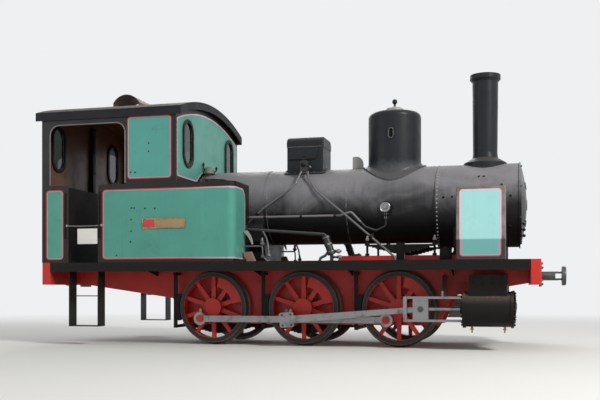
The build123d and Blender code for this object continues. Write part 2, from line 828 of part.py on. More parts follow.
for side, hand in ((-1, "right"), (1, "left")):
    with BuildPart() as side_tank:
        with BuildSketch(Plane.XY.offset(footplate_top + seat)) as tank_plan:
            with Locations(((tank_rear_x + tank_front_x) / 2, side * (tank_inner_y + body_half_width) / 2)):
                Rectangle(tank_front_x - tank_rear_x, body_half_width - tank_inner_y)
            outer_corner = tank_plan.vertices().group_by(Axis.X)[-1].sort_by(Axis.Y)[0 if side < 0 else -1]
            fillet(outer_corner, tank_corner_radius)
        extrude(amount=tank_top - footplate_top - seat)
        with BuildSketch(Plane.XY.offset(tank_top - 5)):
            with Locations((filler_x, side * filler_y)):
                Circle(filler_radius + filler_wall)
        extrude(amount=filler_height + 5)
        with BuildSketch(Plane.XY.offset(tank_top + filler_height - filler_depth)):
            with Locations((filler_x, side * filler_y)):
                Circle(filler_radius)
        extrude(amount=filler_depth, mode=Mode.SUBTRACT)
        for end in SIDES:
            lug_x = filler_x + end * (filler_knuckle_length / 2 + 2 + filler_lug / 2)
            with Locations((lug_x, side * filler_hinge_y, (tank_top + filler_hinge_z + 12) / 2)):
                Box(filler_lug, 26, filler_hinge_z + 12 - tank_top)
        with Locations((filler_x, side * filler_hinge_y, filler_hinge_z)):
            Cylinder(filler_pin_radius, filler_knuckle_length + 4 + 2 * filler_lug, rotation=(0, 90, 0))
    finish(side_tank, f"side_tank_{hand}")

    # Filler lid: round cover with a knob, on its knuckle
    with BuildPart() as filler_lid:
        with BuildSketch(Plane.XY.offset(filler_lid_z)):
            with Locations((filler_x, side * filler_y)):
                Circle(filler_lid_radius)
        extrude(amount=14)
        with Locations((filler_x, side * filler_y, filler_lid_z + 14 + 12)):
            Cylinder(20, 30)
        with Locations((filler_x, side * (filler_hinge_y + 12), filler_lid_z + 8)):
            Box(filler_knuckle_length, 40, 12)
        with Locations((filler_x, side * filler_hinge_y, filler_hinge_z)):
            Cylinder(filler_knuckle_radius, filler_knuckle_length, rotation=(0, 90, 0))
            Cylinder(filler_pin_radius + hinge_gap, filler_knuckle_length + 2, rotation=(0, 90, 0),
                     mode=Mode.SUBTRACT)
    finish(filler_lid, f"tank_lid_{hand}")

# Cab sides: the rear panel, the pillar, the header and the front panel over each tank
side_sheet_top = roof_height(body_half_width, sheet + seat)
sheet_foot = footplate_top + seat
tank_seat_z = tank_top + seat

with BuildPart() as cab_sides:
    for side in SIDES:
        with BuildSketch(upright(outer_y_start(side, body_half_width - sheet, body_half_width))):
            with Locations(((cab_rear_x + cab_front_x) / 2, (tank_seat_z + side_sheet_top) / 2)):
                Rectangle(cab_front_x - cab_rear_x, side_sheet_top - tank_seat_z)
            with Locations(((cab_rear_x + door_rear_x) / 2, (sheet_foot + tank_seat_z) / 2)):
                Rectangle(door_rear_x - cab_rear_x, tank_seat_z - sheet_foot)
            with BuildSketch(mode=Mode.PRIVATE) as opening:
                with Locations(((pillar_front_x + cab_opening_front_x) / 2,
                                (tank_seat_z + cab_opening_top) / 2)):
                    Rectangle(cab_opening_front_x - pillar_front_x, cab_opening_top - tank_seat_z)
                fillet(opening.vertices().group_by(Axis.Y)[-1], cab_opening_radius)
            add(opening.sketch, mode=Mode.SUBTRACT)
        extrude(amount=sheet)
finish(cab_sides, "cab_sides")

# Cab front and rear: arched sheets with two slot windows each
end_half_width = body_half_width - sheet - seat
end_shoulder_z = roof_height(end_half_width, sheet + seat)
end_crown_z = roof_height(0, sheet + seat)


def cab_end_sheet(bottom):
    """Arched outline of a cab end sheet with its two slot windows."""
    with BuildSketch() as end_sheet:
        with BuildLine():
            shoulder = (end_half_width, end_shoulder_z)
            ThreePointArc((-end_half_width, end_shoulder_z), (0, end_crown_z), shoulder)
            Polyline(
                (end_half_width, end_shoulder_z),
                (end_half_width, bottom),
                (-end_half_width, bottom),
                (-end_half_width, end_shoulder_z),
            )
        make_face()
        with Locations((-slot_window_y, slot_window_z), (slot_window_y, slot_window_z)):
            SlotOverall(slot_window_height, slot_window_width, rotation=90, mode=Mode.SUBTRACT)
    return end_sheet.sketch


with BuildPart() as cab_front:
    with BuildSketch(across(cab_front_x - sheet)):
        add(cab_end_sheet(tank_seat_z))
        with Locations((0, (sheet_foot + tank_seat_z) / 2)):
            Rectangle(2 * (tank_inner_y - seat), tank_seat_z - sheet_foot)
        add(casing_outline(casing_clear), mode=Mode.SUBTRACT)
    extrude(amount=sheet)
finish(cab_front, "cab_front")

with BuildPart() as cab_rear:
    with BuildSketch(across(cab_rear_x)):
        add(cab_end_sheet(sheet_foot))
    extrude(amount=sheet)
finish(cab_rear, "cab_rear")

# Cab roof: arched sheet with fascias, end rims and the ventilator's hole
vent_x = -2220.0
vent_half_length = 180.0
vent_half_width = 250.0
vent_curb_top = 3075.0
vent_top = 3180.0
vent_sheet = 6.0
vent_hole_half_width = 200.0
eave_z = roof_height(roof_half_width, 0)
inner_half_width = roof_half_width - sheet

with BuildPart() as cab_roof:
    with BuildSketch(across(roof_rear_x)):
        with BuildLine():
            ThreePointArc((-roof_half_width, eave_z), (0, roof_top), (roof_half_width, eave_z))
            Polyline(
                (roof_half_width, eave_z),
                (roof_half_width, eave_z - roof_fascia),
                (-roof_half_width, eave_z - roof_fascia),
                (-roof_half_width, eave_z),
            )
        make_face()
    extrude(amount=roof_front_x - roof_rear_x)
    for start_x, length, drop in (
        (roof_rear_x + sheet, roof_front_x - roof_rear_x - 2 * sheet, sheet),
        (roof_rear_x, roof_front_x - roof_rear_x, roof_rim),
    ):
        with BuildSketch(across(start_x)):
            with BuildLine():
                edge_z = roof_height(inner_half_width, drop)
                crown_z = roof_height(0, drop)
                ThreePointArc((-inner_half_width, edge_z), (0, crown_z), (inner_half_width, edge_z))
                Polyline(
                    (inner_half_width, edge_z),
                    (inner_half_width, eave_z - roof_fascia - 50),
                    (-inner_half_width, eave_z - roof_fascia - 50),
                    (-inner_half_width, edge_z),
                )
            make_face()
        extrude(amount=length, mode=Mode.SUBTRACT)
    with Locations((vent_x, 0, roof_top)):
        Box(2 * (vent_half_length - 30), 2 * vent_hole_half_width, 200, mode=Mode.SUBTRACT)
finish(cab_roof, "cab_roof")

# Roof ventilator: two curb walls and an arched hood open at both ends
with BuildPart() as roof_ventilator:
    with BuildSketch(upright(vent_half_width)):
        with BuildLine():
            outer_arc = ThreePointArc(
                (vent_x - vent_half_length, vent_curb_top),
                (vent_x, vent_top),
                (vent_x + vent_half_length, vent_curb_top),
            )
            inner_arc = ThreePointArc(
                (vent_x + vent_half_length - vent_sheet, vent_curb_top),
                (vent_x, vent_top - vent_sheet),
                (vent_x - vent_half_length + vent_sheet, vent_curb_top),
            )
            Polyline(
                outer_arc @ 1,
                (vent_x + vent_half_length, roof_top - 60),
                (vent_x + vent_half_length - vent_sheet, roof_top - 60),
                inner_arc @ 0,
            )
            Polyline(
                inner_arc @ 1,
                (vent_x - vent_half_length + vent_sheet, roof_top - 60),
                (vent_x - vent_half_length, roof_top - 60),
                outer_arc @ 0,
            )
        make_face()
    extrude(amount=2 * vent_half_width)
    with Locations((vent_x, 0, roof_arc_z)):
        Cylinder(roof_arc_radius + seat, 1000, rotation=(0, 90, 0), mode=Mode.SUBTRACT)
finish(roof_ventilator, "roof_ventilator")

# Window rims: one ring outside and one inside each slot window
rim_height = slot_window_height + 2 * rim_width

with BuildPart() as window_rims:
    for rim_x in (
        cab_front_x + seat,
        cab_front_x - sheet - rim_depth - seat,
        cab_rear_x - rim_depth - seat,
        cab_rear_x + sheet + seat,
    ):
        with BuildSketch(across(rim_x)):
            with Locations((-slot_window_y, slot_window_z), (slot_window_y, slot_window_z)):
                SlotOverall(rim_height, slot_window_width + 2 * rim_width, rotation=90)
                SlotOverall(slot_window_height, slot_window_width, rotation=90, mode=Mode.SUBTRACT)
        extrude(amount=rim_depth)
finish(window_rims, "window_rims")

# Window glass: one pane inside each slot
with BuildPart() as window_glass:
    for glass_x in (cab_front_x - sheet / 2, cab_rear_x + sheet / 2):
        with BuildSketch(across(glass_x)):
            with Locations((-slot_window_y, slot_window_z), (slot_window_y, slot_window_z)):
                SlotOverall(slot_window_height - 2 * seat, slot_window_width - 2 * seat, rotation=90)
        extrude(amount=glass_plate / 2, both=True)
finish(window_glass, "window_glass")

# Coal bunker: open-topped bin across the back of the cab with a shovel mouth
bunker_front_x = door_rear_x - 16
bunker_top = 1900.0
bunker_wall = 8.0
bunker_clear = 2.0
mouth_half_width = 200.0
mouth_height = 320.0
bunker_rear_x = cab_rear_x + sheet + bunker_clear
bunker_half_width = body_half_width - sheet - bunker_clear

with BuildPart() as coal_bunker:
    with Locations(((bunker_rear_x + bunker_front_x) / 2, 0, (sheet_foot + bunker_top) / 2)):
        Box(bunker_front_x - bunker_rear_x, 2 * bunker_half_width, bunker_top - sheet_foot)
    with Locations(((bunker_rear_x + bunker_front_x) / 2, 0, (sheet_foot + bunker_top) / 2 + bunker_wall)):
        Box(bunker_front_x - bunker_rear_x - 2 * bunker_wall, 2 * (bunker_half_width - bunker_wall),
            bunker_top - sheet_foot, mode=Mode.SUBTRACT)
    with Locations((bunker_front_x, 0, sheet_foot + bunker_wall + mouth_height / 2)):
        Box(4 * bunker_wall, 2 * mouth_half_width, mouth_height, mode=Mode.SUBTRACT)
finish(coal_bunker, "coal_bunker")

# Cab controls: brake column with its wheel, reversing lever with its quadrant, regulator and gauge
column_x = -2150.0
column_y = 370.0
column_radius = 24.0
column_top = 1900.0
handwheel_radius = 150.0
handwheel_rim = 11.0
lever_x = -1700.0
lever_y = -490.0
lever_lean = 110.0
lever_top = 1880.0
quadrant_foot = 260.0
quadrant_head = 200.0
quadrant_height = 330.0
regulator_z = 2000.0

with BuildPart() as cab_controls:
    with Locations((column_x, column_y, (sheet_foot + column_top) / 2)):
        Cylinder(column_radius, column_top - sheet_foot)
    with Locations((column_x, column_y, sheet_foot + 8)):
        Cylinder(70, 16)
    with Locations((column_x, column_y, column_top)):
        Torus(handwheel_radius, handwheel_rim)
        Box(2 * handwheel_radius, 16, 12)
        Box(16, 2 * handwheel_radius, 12)
    with BuildSketch(upright(lever_y)):
        with BuildLine():
            Polyline(
                (lever_x - quadrant_foot, sheet_foot),
                (lever_x + quadrant_foot, sheet_foot),
                (lever_x + quadrant_head, sheet_foot + quadrant_height),
                (lever_x - quadrant_head, sheet_foot + quadrant_height),
                close=True,
            )
        make_face()
        with Locations((lever_x, sheet_foot + 140)):
            Circle(90, mode=Mode.SUBTRACT)
    extrude(amount=12)
    with BuildSketch(upright(lever_y + 14)):
        with BuildLine():
            Polyline(
                (lever_x - 24, sheet_foot + 40),
                (lever_x + 24, sheet_foot + 40),
                (lever_x - lever_lean + 20, lever_top),
                (lever_x - lever_lean - 20, lever_top),
                close=True,
            )
        make_face()
    extrude(amount=15)
    with Locations((firebox_rear_x - seat - 30, 0, regulator_z)):
        Cylinder(34, 60, rotation=(0, 90, 0))
    with Locations((firebox_rear_x - seat - 50, 0, regulator_z)):
        Box(16, 34, 620)
    with Locations((firebox_rear_x - seat - 25, 300, 1780)):
        Cylinder(80, 50, rotation=(0, 90, 0))
finish(cab_controls, "cab_controls")

# Cylinders: barrel, covers, slide valve chest and the flange on the frame, bored for the rod
chest_rear_x = cylinder_rear_x + 40
chest_front_x = cylinder_rear_x + cylinder_length - 40
chest_inner_y = 600.0
chest_outer_y = 930.0
chest_top = 830.0
cover_radius = cylinder_radius + 12
cylinder_front_x = cylinder_rear_x + cylinder_length
gland_radius = 48.0
gland_length = 30.0

with BuildPart() as cylinders:
    for side in SIDES:
        centre_y = side * motion_y
        with Locations(((cylinder_rear_x + cylinder_front_x) / 2, centre_y, axle_z)):
            Cylinder(cylinder_radius, cylinder_length, rotation=(0, 90, 0))
        for cover_x in (cylinder_rear_x - cylinder_cover / 2, cylinder_front_x + cylinder_cover / 2):
            with Locations((cover_x, centre_y, axle_z)):
                Cylinder(cover_radius, cylinder_cover, rotation=(0, 90, 0))
        with Locations((cylinder_front_x + cylinder_cover + 8, centre_y, axle_z)):
            Cylinder(cover_radius * 0.62, 16, rotation=(0, 90, 0))
        with Locations((cylinder_rear_x - cylinder_cover - gland_length / 2, centre_y, axle_z)):
            Cylinder(gland_radius, gland_length, rotation=(0, 90, 0))
        with BuildSketch(across(chest_rear_x)):
            with BuildLine():
                Polyline(
                    (side * (frame_outer_y + seat), 330),
                    (side * motion_y, 330),
                    (side * (motion_y + 120), axle_z + 120),
                    (side * chest_outer_y, chest_top - 60),
                    (side * chest_outer_y, chest_top),
                    (side * chest_inner_y, chest_top),
                    (side * (frame_outer_y + seat), chest_top),
                    close=True,
                )
            make_face()
        extrude(amount=chest_front_x - chest_rear_x)
        with Locations(((cylinder_rear_x + cylinder_front_x) / 2 - 40, centre_y, axle_z)):
            Cylinder(piston_rod_radius + bearing_gap, cylinder_length + 2 * cylinder_cover,
                     rotation=(0, 90, 0), mode=Mode.SUBTRACT)
finish(cylinders, "cylinders")

# Slide bars: two bars a side, joined at the rear by a yoke and hung from the frame by a bracket
bar_clearance = 55.0
bar_rear_x = driven_x + connecting_rod_length - crank_radius - slipper_length / 2 - bar_clearance
bar_front_x = cylinder_rear_x - cylinder_cover - seat
yoke_length = 40.0
yoke_plate = 18.0
guide_bracket_plate = 20.0
guide_bracket_clearance = 62.0
guide_bracket_top = 830.0
guide_bracket_x = front_x + flange_radius + guide_bracket_clearance + guide_bracket_plate / 2

with BuildPart() as slide_bars:
    for side in SIDES:
        for level in (-1, 1):
            with Locations(((bar_rear_x + bar_front_x) / 2, side * motion_y,
                            axle_z + level * (bar_half_gap + bar_depth / 2))):
                Box(bar_front_x - bar_rear_x, bar_width, bar_depth)
        yoke_y = side * (motion_y + bar_width / 2 + yoke_plate / 2)
        with Locations((bar_rear_x + yoke_length / 2, yoke_y, axle_z)):
            Box(yoke_length, yoke_plate, 2 * (bar_half_gap + bar_depth))
        with BuildSketch(across(guide_bracket_x - guide_bracket_plate / 2)):
            with BuildLine():
                Polyline(
                    (side * (frame_outer_y + seat), guide_bracket_top),
                    (side * (frame_outer_y + seat), 600),
                    (side * (motion_y - bar_width / 2), axle_z + bar_half_gap + bar_depth),
                    (side * (motion_y + bar_width / 2), axle_z + bar_half_gap + bar_depth),
                    (side * (motion_y + bar_width / 2), axle_z + bar_half_gap + bar_depth + 60),
                    (side * (motion_y - 100), guide_bracket_top),
                    close=True,
                )
            make_face()
        extrude(amount=guide_bracket_plate)
finish(slide_bars, "slide_bars")

# Crossheads, connecting rods and coupling rods, one of each a side
crosshead_front = 64.0
crosshead_block = 70.0
piston_rod_inside = 40.0
flute_depth = 8.0
flute_height = 36.0
flute_inset = 30.0
mid_stroke_x = driven_x + connecting_rod_length
piston_rod_tip_x = cylinder_rear_x + piston_rod_inside - (mid_stroke_x - crank_radius)

for side, hand in ((-1, "right"), (1, "left")):
    pin_dx, pin_dz = crank_place(side)
    pin_x = driven_x + pin_dx
    gudgeon_x = pin_x + sqrt(connecting_rod_length**2 - pin_dz**2)

    # Crosshead: two slippers, two cheeks, the gudgeon pin, the front block and the piston rod
    with BuildPart() as crosshead:
        for level in (-1, 1):
            slipper_z = axle_z + level * (bar_half_gap - bearing_gap - slipper_depth / 2)
            with Locations((gudgeon_x, side * motion_y, slipper_z)):
                Box(slipper_length, bar_width, slipper_depth)
        for offset in (-1, 1):
            cheek_y = side * motion_y + offset * (bar_width - cheek_plate) / 2
            with Locations((gudgeon_x, cheek_y, axle_z)):
                Box(slipper_length, cheek_plate, 2 * (bar_half_gap - bearing_gap - slipper_depth) + 4)
        with Locations((gudgeon_x, side * motion_y, axle_z)):
            Cylinder(gudgeon_radius, bar_width, rotation=(90, 0, 0))
        with Locations((gudgeon_x + crosshead_front + (slipper_length / 2 - crosshead_front) / 2,
                        side * motion_y, axle_z)):
            Box(slipper_length / 2 - crosshead_front, bar_width, crosshead_block)
        rod_start = gudgeon_x + crosshead_front
        rod_end = gudgeon_x + piston_rod_tip_x
        with Locations(((rod_start + rod_end) / 2, side * motion_y, axle_z)):
            Cylinder(piston_rod_radius, rod_end - rod_start, rotation=(0, 90, 0))
    finish(crosshead, f"crosshead_{hand}")

    # Connecting rod: tapered bar from the small end to the big end, which stands beside its pin
    rod_direction = Vector(pin_x - gudgeon_x, 0, pin_dz).normalized()
    rod_plane = Plane(
        origin=(gudgeon_x, side * motion_y, axle_z),
        x_dir=rod_direction,
        z_dir=(0, -1, 0),
    )
    with BuildPart() as connecting_rod:
        with BuildSketch(rod_plane):
            Circle(connecting_small_end)
            with Locations((connecting_rod_length, 0)):
                RectangleRounded(2 * connecting_big_end, 2 * connecting_big_end, 26)
            with BuildLine():
                Polyline(
                    (0, 28),
                    (connecting_rod_length, 44),
                    (connecting_rod_length, -44),
                    (0, -28),
                    close=True,
                )
            make_face()
            Circle(gudgeon_radius + bearing_gap, mode=Mode.SUBTRACT)
        extrude(amount=rod_thickness / 2, both=True)
        with BuildSketch(rod_plane.offset(-side * rod_thickness / 2)):
            with Locations((connecting_rod_length, 0)):
                Circle(46)
        extrude(amount=-side * 12)
    finish(connecting_rod, f"connecting_rod_{hand}")

    # Coupling rod: three eyes on the crank pins with a bar between them
    with BuildPart() as coupling_rod:
        with BuildSketch(upright(side * coupling_rod_y)):
            with Locations(((front_x + rear_x) / 2 + pin_dx, axle_z + pin_dz)):
                Rectangle(front_x - rear_x, coupling_rod_depth)
            for _, axle_x in axle_table:
                with Locations((axle_x + pin_dx, axle_z + pin_dz)):
                    Circle(coupling_eye_radius)
            for _, axle_x in axle_table:
                with Locations((axle_x + pin_dx, axle_z + pin_dz)):
                    Circle(crank_pin_radius + bearing_gap, mode=Mode.SUBTRACT)
        extrude(amount=rod_thickness / 2, both=True)
        rod_face_y = coupling_rod_y + rod_thickness / 2
        with BuildSketch(upright(outer_y_start(side, rod_face_y - flute_depth, rod_face_y))):
            for flute_rear_x, flute_front_x in ((rear_x, driven_x), (driven_x, front_x)):
                flute_length = flute_front_x - flute_rear_x - 2 * (coupling_eye_radius + flute_inset)
                with Locations(((flute_rear_x + flute_front_x) / 2 + pin_dx, axle_z + pin_dz)):
                    SlotOverall(flute_length, flute_height)
        extrude(amount=flute_depth, mode=Mode.SUBTRACT)
    finish(coupling_rod, f"coupling_rod_{hand}")

# Wheelsets: an axle with two spoked, flanged wheels, their balance weights and crank pins
spoke_middle_y = wheel_inner_y + tyre_width / 2
hub_inner_y = 462.0
crank_boss_inner_y = 500.0
pin_cap_gap = 3.0
pin_cap_depth = 12.0
pin_cap_radius = 44.0
main_pin_gap = 10.0
balance_inner_radius = 250.0
balance_spread = 34.0
balance_depth = 80.0
tyre_table = (  # distance out from the wheel's inner face, radius
    (0.0, tyre_inner_radius),
    (0.0, flange_radius - 10),
    (10.0, flange_radius),
    (18.0, flange_radius),
    (flange_width, tread_radius + 4),
    (tyre_width, tread_radius - 3),
    (tyre_width, tyre_inner_radius),
)

for name, axle_x in axle_table:
    with BuildPart() as wheelset:
        with Locations((axle_x, 0, axle_z)):
            Cylinder(axle_radius, 2 * hub_outer_y - 20, rotation=(90, 0, 0))
        for side in SIDES:
            pin_dx, pin_dz = crank_place(side)
            with BuildSketch(Plane.XY.offset(axle_z)):
                with BuildLine():
                    Polyline(*[(axle_x + radius, side * (wheel_inner_y + out)) for out, radius in tyre_table],
                             close=True)
                make_face()
            revolve(axis=Axis((axle_x, 0, axle_z), (0, 1, 0)))
            with BuildSketch(upright(outer_y_start(side, hub_inner_y, hub_outer_y))):
                with Locations((axle_x, axle_z)):
                    Circle(hub_radius)
            extrude(amount=hub_outer_y - hub_inner_y)
            with BuildSketch(upright(outer_y_start(side, crank_boss_inner_y, hub_outer_y))):
                with Locations((axle_x + pin_dx, axle_z + pin_dz)):
                    Circle(crank_boss_radius)
                with Locations(Location((axle_x + pin_dx / 2, axle_z + pin_dz / 2, 0),
                                        (0, 0, crank_angle[side]))):
                    Rectangle(crank_radius, 2 * crank_boss_radius * 0.92)
            extrude(amount=hub_outer_y - crank_boss_inner_y)
            with BuildSketch(upright(side * spoke_middle_y)):
                with Locations((axle_x, axle_z)):
                    with PolarLocations(0, spoke_count, start_angle=18):
                        Polygon(
                            (hub_radius - 10, -spoke_root_width / 2),
                            (tyre_inner_radius + 4, -spoke_tip_width / 2),
                            (tyre_inner_radius + 4, spoke_tip_width / 2),
                            (hub_radius - 10, spoke_root_width / 2),
                            align=None,
                        )
            extrude(amount=spoke_depth / 2, both=True)
            with BuildSketch(upright(side * spoke_middle_y)):
                with BuildLine():
                    weight_start = crank_angle[side] + 180 - balance_spread
                    centre = (axle_x, axle_z)
                    inner_arc = CenterArc(centre, balance_inner_radius, weight_start, 2 * balance_spread)
                    outer_arc = CenterArc(centre, tyre_inner_radius + 4, weight_start, 2 * balance_spread)
                    Line(inner_arc @ 0, outer_arc @ 0)
                    Line(inner_arc @ 1, outer_arc @ 1)
                make_face()
            extrude(amount=balance_depth / 2, both=True)
            pin_end_y = coupling_rod_y + rod_thickness / 2 + pin_cap_gap + pin_cap_depth
            if name == "driven":
                pin_end_y = motion_y - rod_thickness / 2 - main_pin_gap
            with BuildSketch(upright(outer_y_start(side, hub_outer_y - 5, pin_end_y))):
                with Locations((axle_x + pin_dx, axle_z + pin_dz)):
                    Circle(crank_pin_radius)
            extrude(amount=pin_end_y - hub_outer_y + 5)
            if name != "driven":
                with BuildSketch(upright(outer_y_start(side, pin_end_y - pin_cap_depth, pin_end_y))):
                    with Locations((axle_x + pin_dx, axle_z + pin_dz)):
                        Circle(pin_cap_radius)
                extrude(amount=pin_cap_depth)
    finish(wheelset, f"wheelset_{name}")

# Axleboxes: six blocks in the frame's windows, bored for the axles
axlebox_height = 220.0
axlebox_inner_y = 347.0
axlebox_outer_y = 453.0

with BuildPart() as axleboxes:
    for name, axle_x in axle_table:
        for side in SIDES:
            with Locations((axle_x, side * (axlebox_inner_y + axlebox_outer_y) / 2, axle_z)):
                Box(2 * horn_half_width, axlebox_outer_y - axlebox_inner_y, axlebox_height)
                Cylinder(axle_radius + bearing_gap, 200, rotation=(90, 0, 0), mode=Mode.SUBTRACT)
finish(axleboxes, "axleboxes")

# Leaf springs: stepped leaves with buckles and hangers, over the front axle and under the others
buckle_half_width = 46.0
hanger_radius = 14.0
hanger_inset = 26.0
top_spring_z = 1195.0
under_spring_z = 238.0
hanger_bottom = frame_raised_top + seat
hanger_top = top_spring_z + 50
leaf_step = 44.0

with BuildPart() as leaf_springs:
    for side in SIDES:
        for index in range(leaf_count):
            half_length = spring_half_length - leaf_step * index
            with Locations((front_x, side * frame_centre_y, top_spring_z - leaf_depth * (index + 0.5))):
                Box(2 * half_length, spring_width, leaf_depth)
        with Locations((front_x, side * frame_centre_y,
                        (top_spring_z + 18 + spring_pocket_bottom + seat) / 2)):
            Box(2 * buckle_half_width, spring_width + 16, top_spring_z + 18 - spring_pocket_bottom - seat)
        for end in SIDES:
            hanger_x = front_x + end * (spring_half_length - hanger_inset)
            with Locations((hanger_x, side * frame_centre_y, (hanger_bottom + hanger_top) / 2)):
                Cylinder(hanger_radius, hanger_top - hanger_bottom)
            with Locations((hanger_x, side * frame_centre_y, top_spring_z + 14)):
                Cylinder(2 * hanger_radius, 28)
            with Locations((hanger_x, side * frame_centre_y, hanger_bottom + 12)):
                Cylinder(1.8 * hanger_radius, 24)
        for axle_x in (driven_x, rear_x):
            for index in range(leaf_count):
                half_length = spring_half_length - leaf_step * index
                with Locations((axle_x, side * frame_centre_y, under_spring_z - leaf_depth * (index + 0.5))):
                    Box(2 * half_length, spring_width - 20, leaf_depth)
            with Locations((axle_x, side * frame_centre_y, (frame_bottom - seat + 130) / 2)):
                Box(2 * buckle_half_width, spring_width, frame_bottom - seat - 130)
finish(leaf_springs, "leaf_springs")

# Brake gear: a hung shoe behind each wheel, cross beams and the pull rod
shoe_gap = 6.0
shoe_thickness = 48.0
shoe_inner_y = 500.0
shoe_width = 80.0
shoe_spread = 20.0
hanger_offset = 500.0
hanger_top_z = 860.0
beam_rod_z = 215.0
beam_rod_radius = 20.0
hanger_width = 44.0
hanger_plate = 20.0

with BuildPart() as brake_gear:
    for name, axle_x in axle_table:
        for side in SIDES:
            with BuildSketch(upright(outer_y_start(side, shoe_inner_y, shoe_inner_y + shoe_width))):
                with BuildLine():
                    inner = tread_radius + 4 + shoe_gap
                    outer = inner + shoe_thickness
                    inner_shoe = CenterArc((axle_x, axle_z), inner, 180 - shoe_spread, 2 * shoe_spread)
                    outer_shoe = CenterArc((axle_x, axle_z), outer, 180 - shoe_spread, 2 * shoe_spread)
                    Line(inner_shoe @ 0, outer_shoe @ 0)
                    Line(inner_shoe @ 1, outer_shoe @ 1)
                make_face()
            extrude(amount=shoe_width)
            hanger_y = side * (shoe_inner_y + shoe_width / 2)
            with Locations((axle_x - hanger_offset, hanger_y, (hanger_top_z + beam_rod_z) / 2)):
                Box(hanger_width, hanger_plate, hanger_top_z - beam_rod_z + 2 * beam_rod_radius)
            pin_length = shoe_inner_y + shoe_width - frame_outer_y - seat
            pin_y = side * (frame_outer_y + seat + pin_length / 2)
            with Locations((axle_x - hanger_offset, pin_y, hanger_top_z)):
                Cylinder(beam_rod_radius, pin_length, rotation=(90, 0, 0))
        with Locations((axle_x - hanger_offset, 0, beam_rod_z)):
            Cylinder(beam_rod_radius, 2 * (shoe_inner_y + shoe_width / 2), rotation=(90, 0, 0))
    pull_rear_x = rear_x - hanger_offset - 120
    pull_front_x = front_x - hanger_offset
    with Locations(((pull_rear_x + pull_front_x) / 2, 0, beam_rod_z)):
        Cylinder(beam_rod_radius * 0.8, pull_front_x - pull_rear_x, rotation=(0, 90, 0))
finish(brake_gear, "brake_gear")

# Cab steps: two treads a side between stringers, hung under the doorway
step_half_length = 190.0
step_depth = 170.0
step_plate = 10.0
step_levels = (230.0, 590.0)
step_x = (door_rear_x + tank_rear_x) / 2
step_outer_y = body_half_width - valance_plate - 2
stringer_top = footplate_under - seat
stringer_bottom = step_levels[0] - step_plate / 2

with BuildPart() as cab_steps:
    for side in SIDES:
        for end in SIDES:
            with Locations((step_x + end * step_half_length, side * (step_outer_y - step_depth / 2),
                            (stringer_bottom + stringer_top) / 2)):
                Box(step_plate, step_depth, stringer_top - stringer_bottom)
        for level in step_levels:
            with Locations((step_x, side * (step_outer_y - step_depth / 2), level)):
                Box(2 * step_half_length, step_depth, step_plate)
finish(cab_steps, "cab_steps")

# Central buffers: flange, stem and rounded head with the link slot and its pin hole
buffer_flange = 250.0
buffer_flange_depth = 25.0
buffer_stem_radius = 52.0
buffer_head_depth = 46.0
link_slot_height = 56.0
link_slot_half_width = 60.0
link_slot_depth = 120.0
beam_face_x = length_over_beams / 2

with BuildPart() as central_buffers:
    for end in SIDES:
        with Locations((end * (beam_face_x + seat + buffer_flange_depth / 2), 0, buffer_z)):
            Box(buffer_flange_depth, buffer_flange, buffer_flange)
        head_x = beam_face_x + buffer_reach
        with Locations((end * (beam_face_x + seat + head_x) / 2, 0, buffer_z)):
            Cylinder(buffer_stem_radius, head_x - beam_face_x - seat, rotation=(0, 90, 0))
        with Locations((end * (head_x - buffer_head_depth / 2), 0, buffer_z)):
            Cylinder(buffer_radius, buffer_head_depth, rotation=(0, 90, 0))
    fillet(central_buffers.edges().filter_by(GeomType.CIRCLE).group_by(Axis.X)[-1], 14)
    fillet(central_buffers.edges().filter_by(GeomType.CIRCLE).group_by(Axis.X)[0], 14)
    for end in SIDES:
        head_x = beam_face_x + buffer_reach
        with Locations((end * (head_x - link_slot_depth / 2), 0, buffer_z)):
            Box(link_slot_depth, 2 * link_slot_half_width, link_slot_height, mode=Mode.SUBTRACT)
        with Locations((end * (head_x - buffer_head_depth - 30), 0, buffer_z)):
            Cylinder(coupler_pin_radius, 4 * buffer_stem_radius, mode=Mode.SUBTRACT)
finish(central_buffers, "central_buffers")

# Side lockers: closed cupboards on the running boards beside the smokebox
with BuildPart() as side_lockers:
    for side in SIDES:
        with Locations(((locker_rear_x + locker_front_x) / 2, side * (body_half_width - locker_depth / 2),
                        (sheet_foot + locker_top) / 2)):
            Box(locker_front_x - locker_rear_x, locker_depth, locker_top - sheet_foot)
    fillet(side_lockers.edges().filter_by(Axis.Z), 14)
finish(side_lockers, "side_lockers")
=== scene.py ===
import math
from itertools import product

import bmesh
import bpy
from mathutils import Matrix, Vector


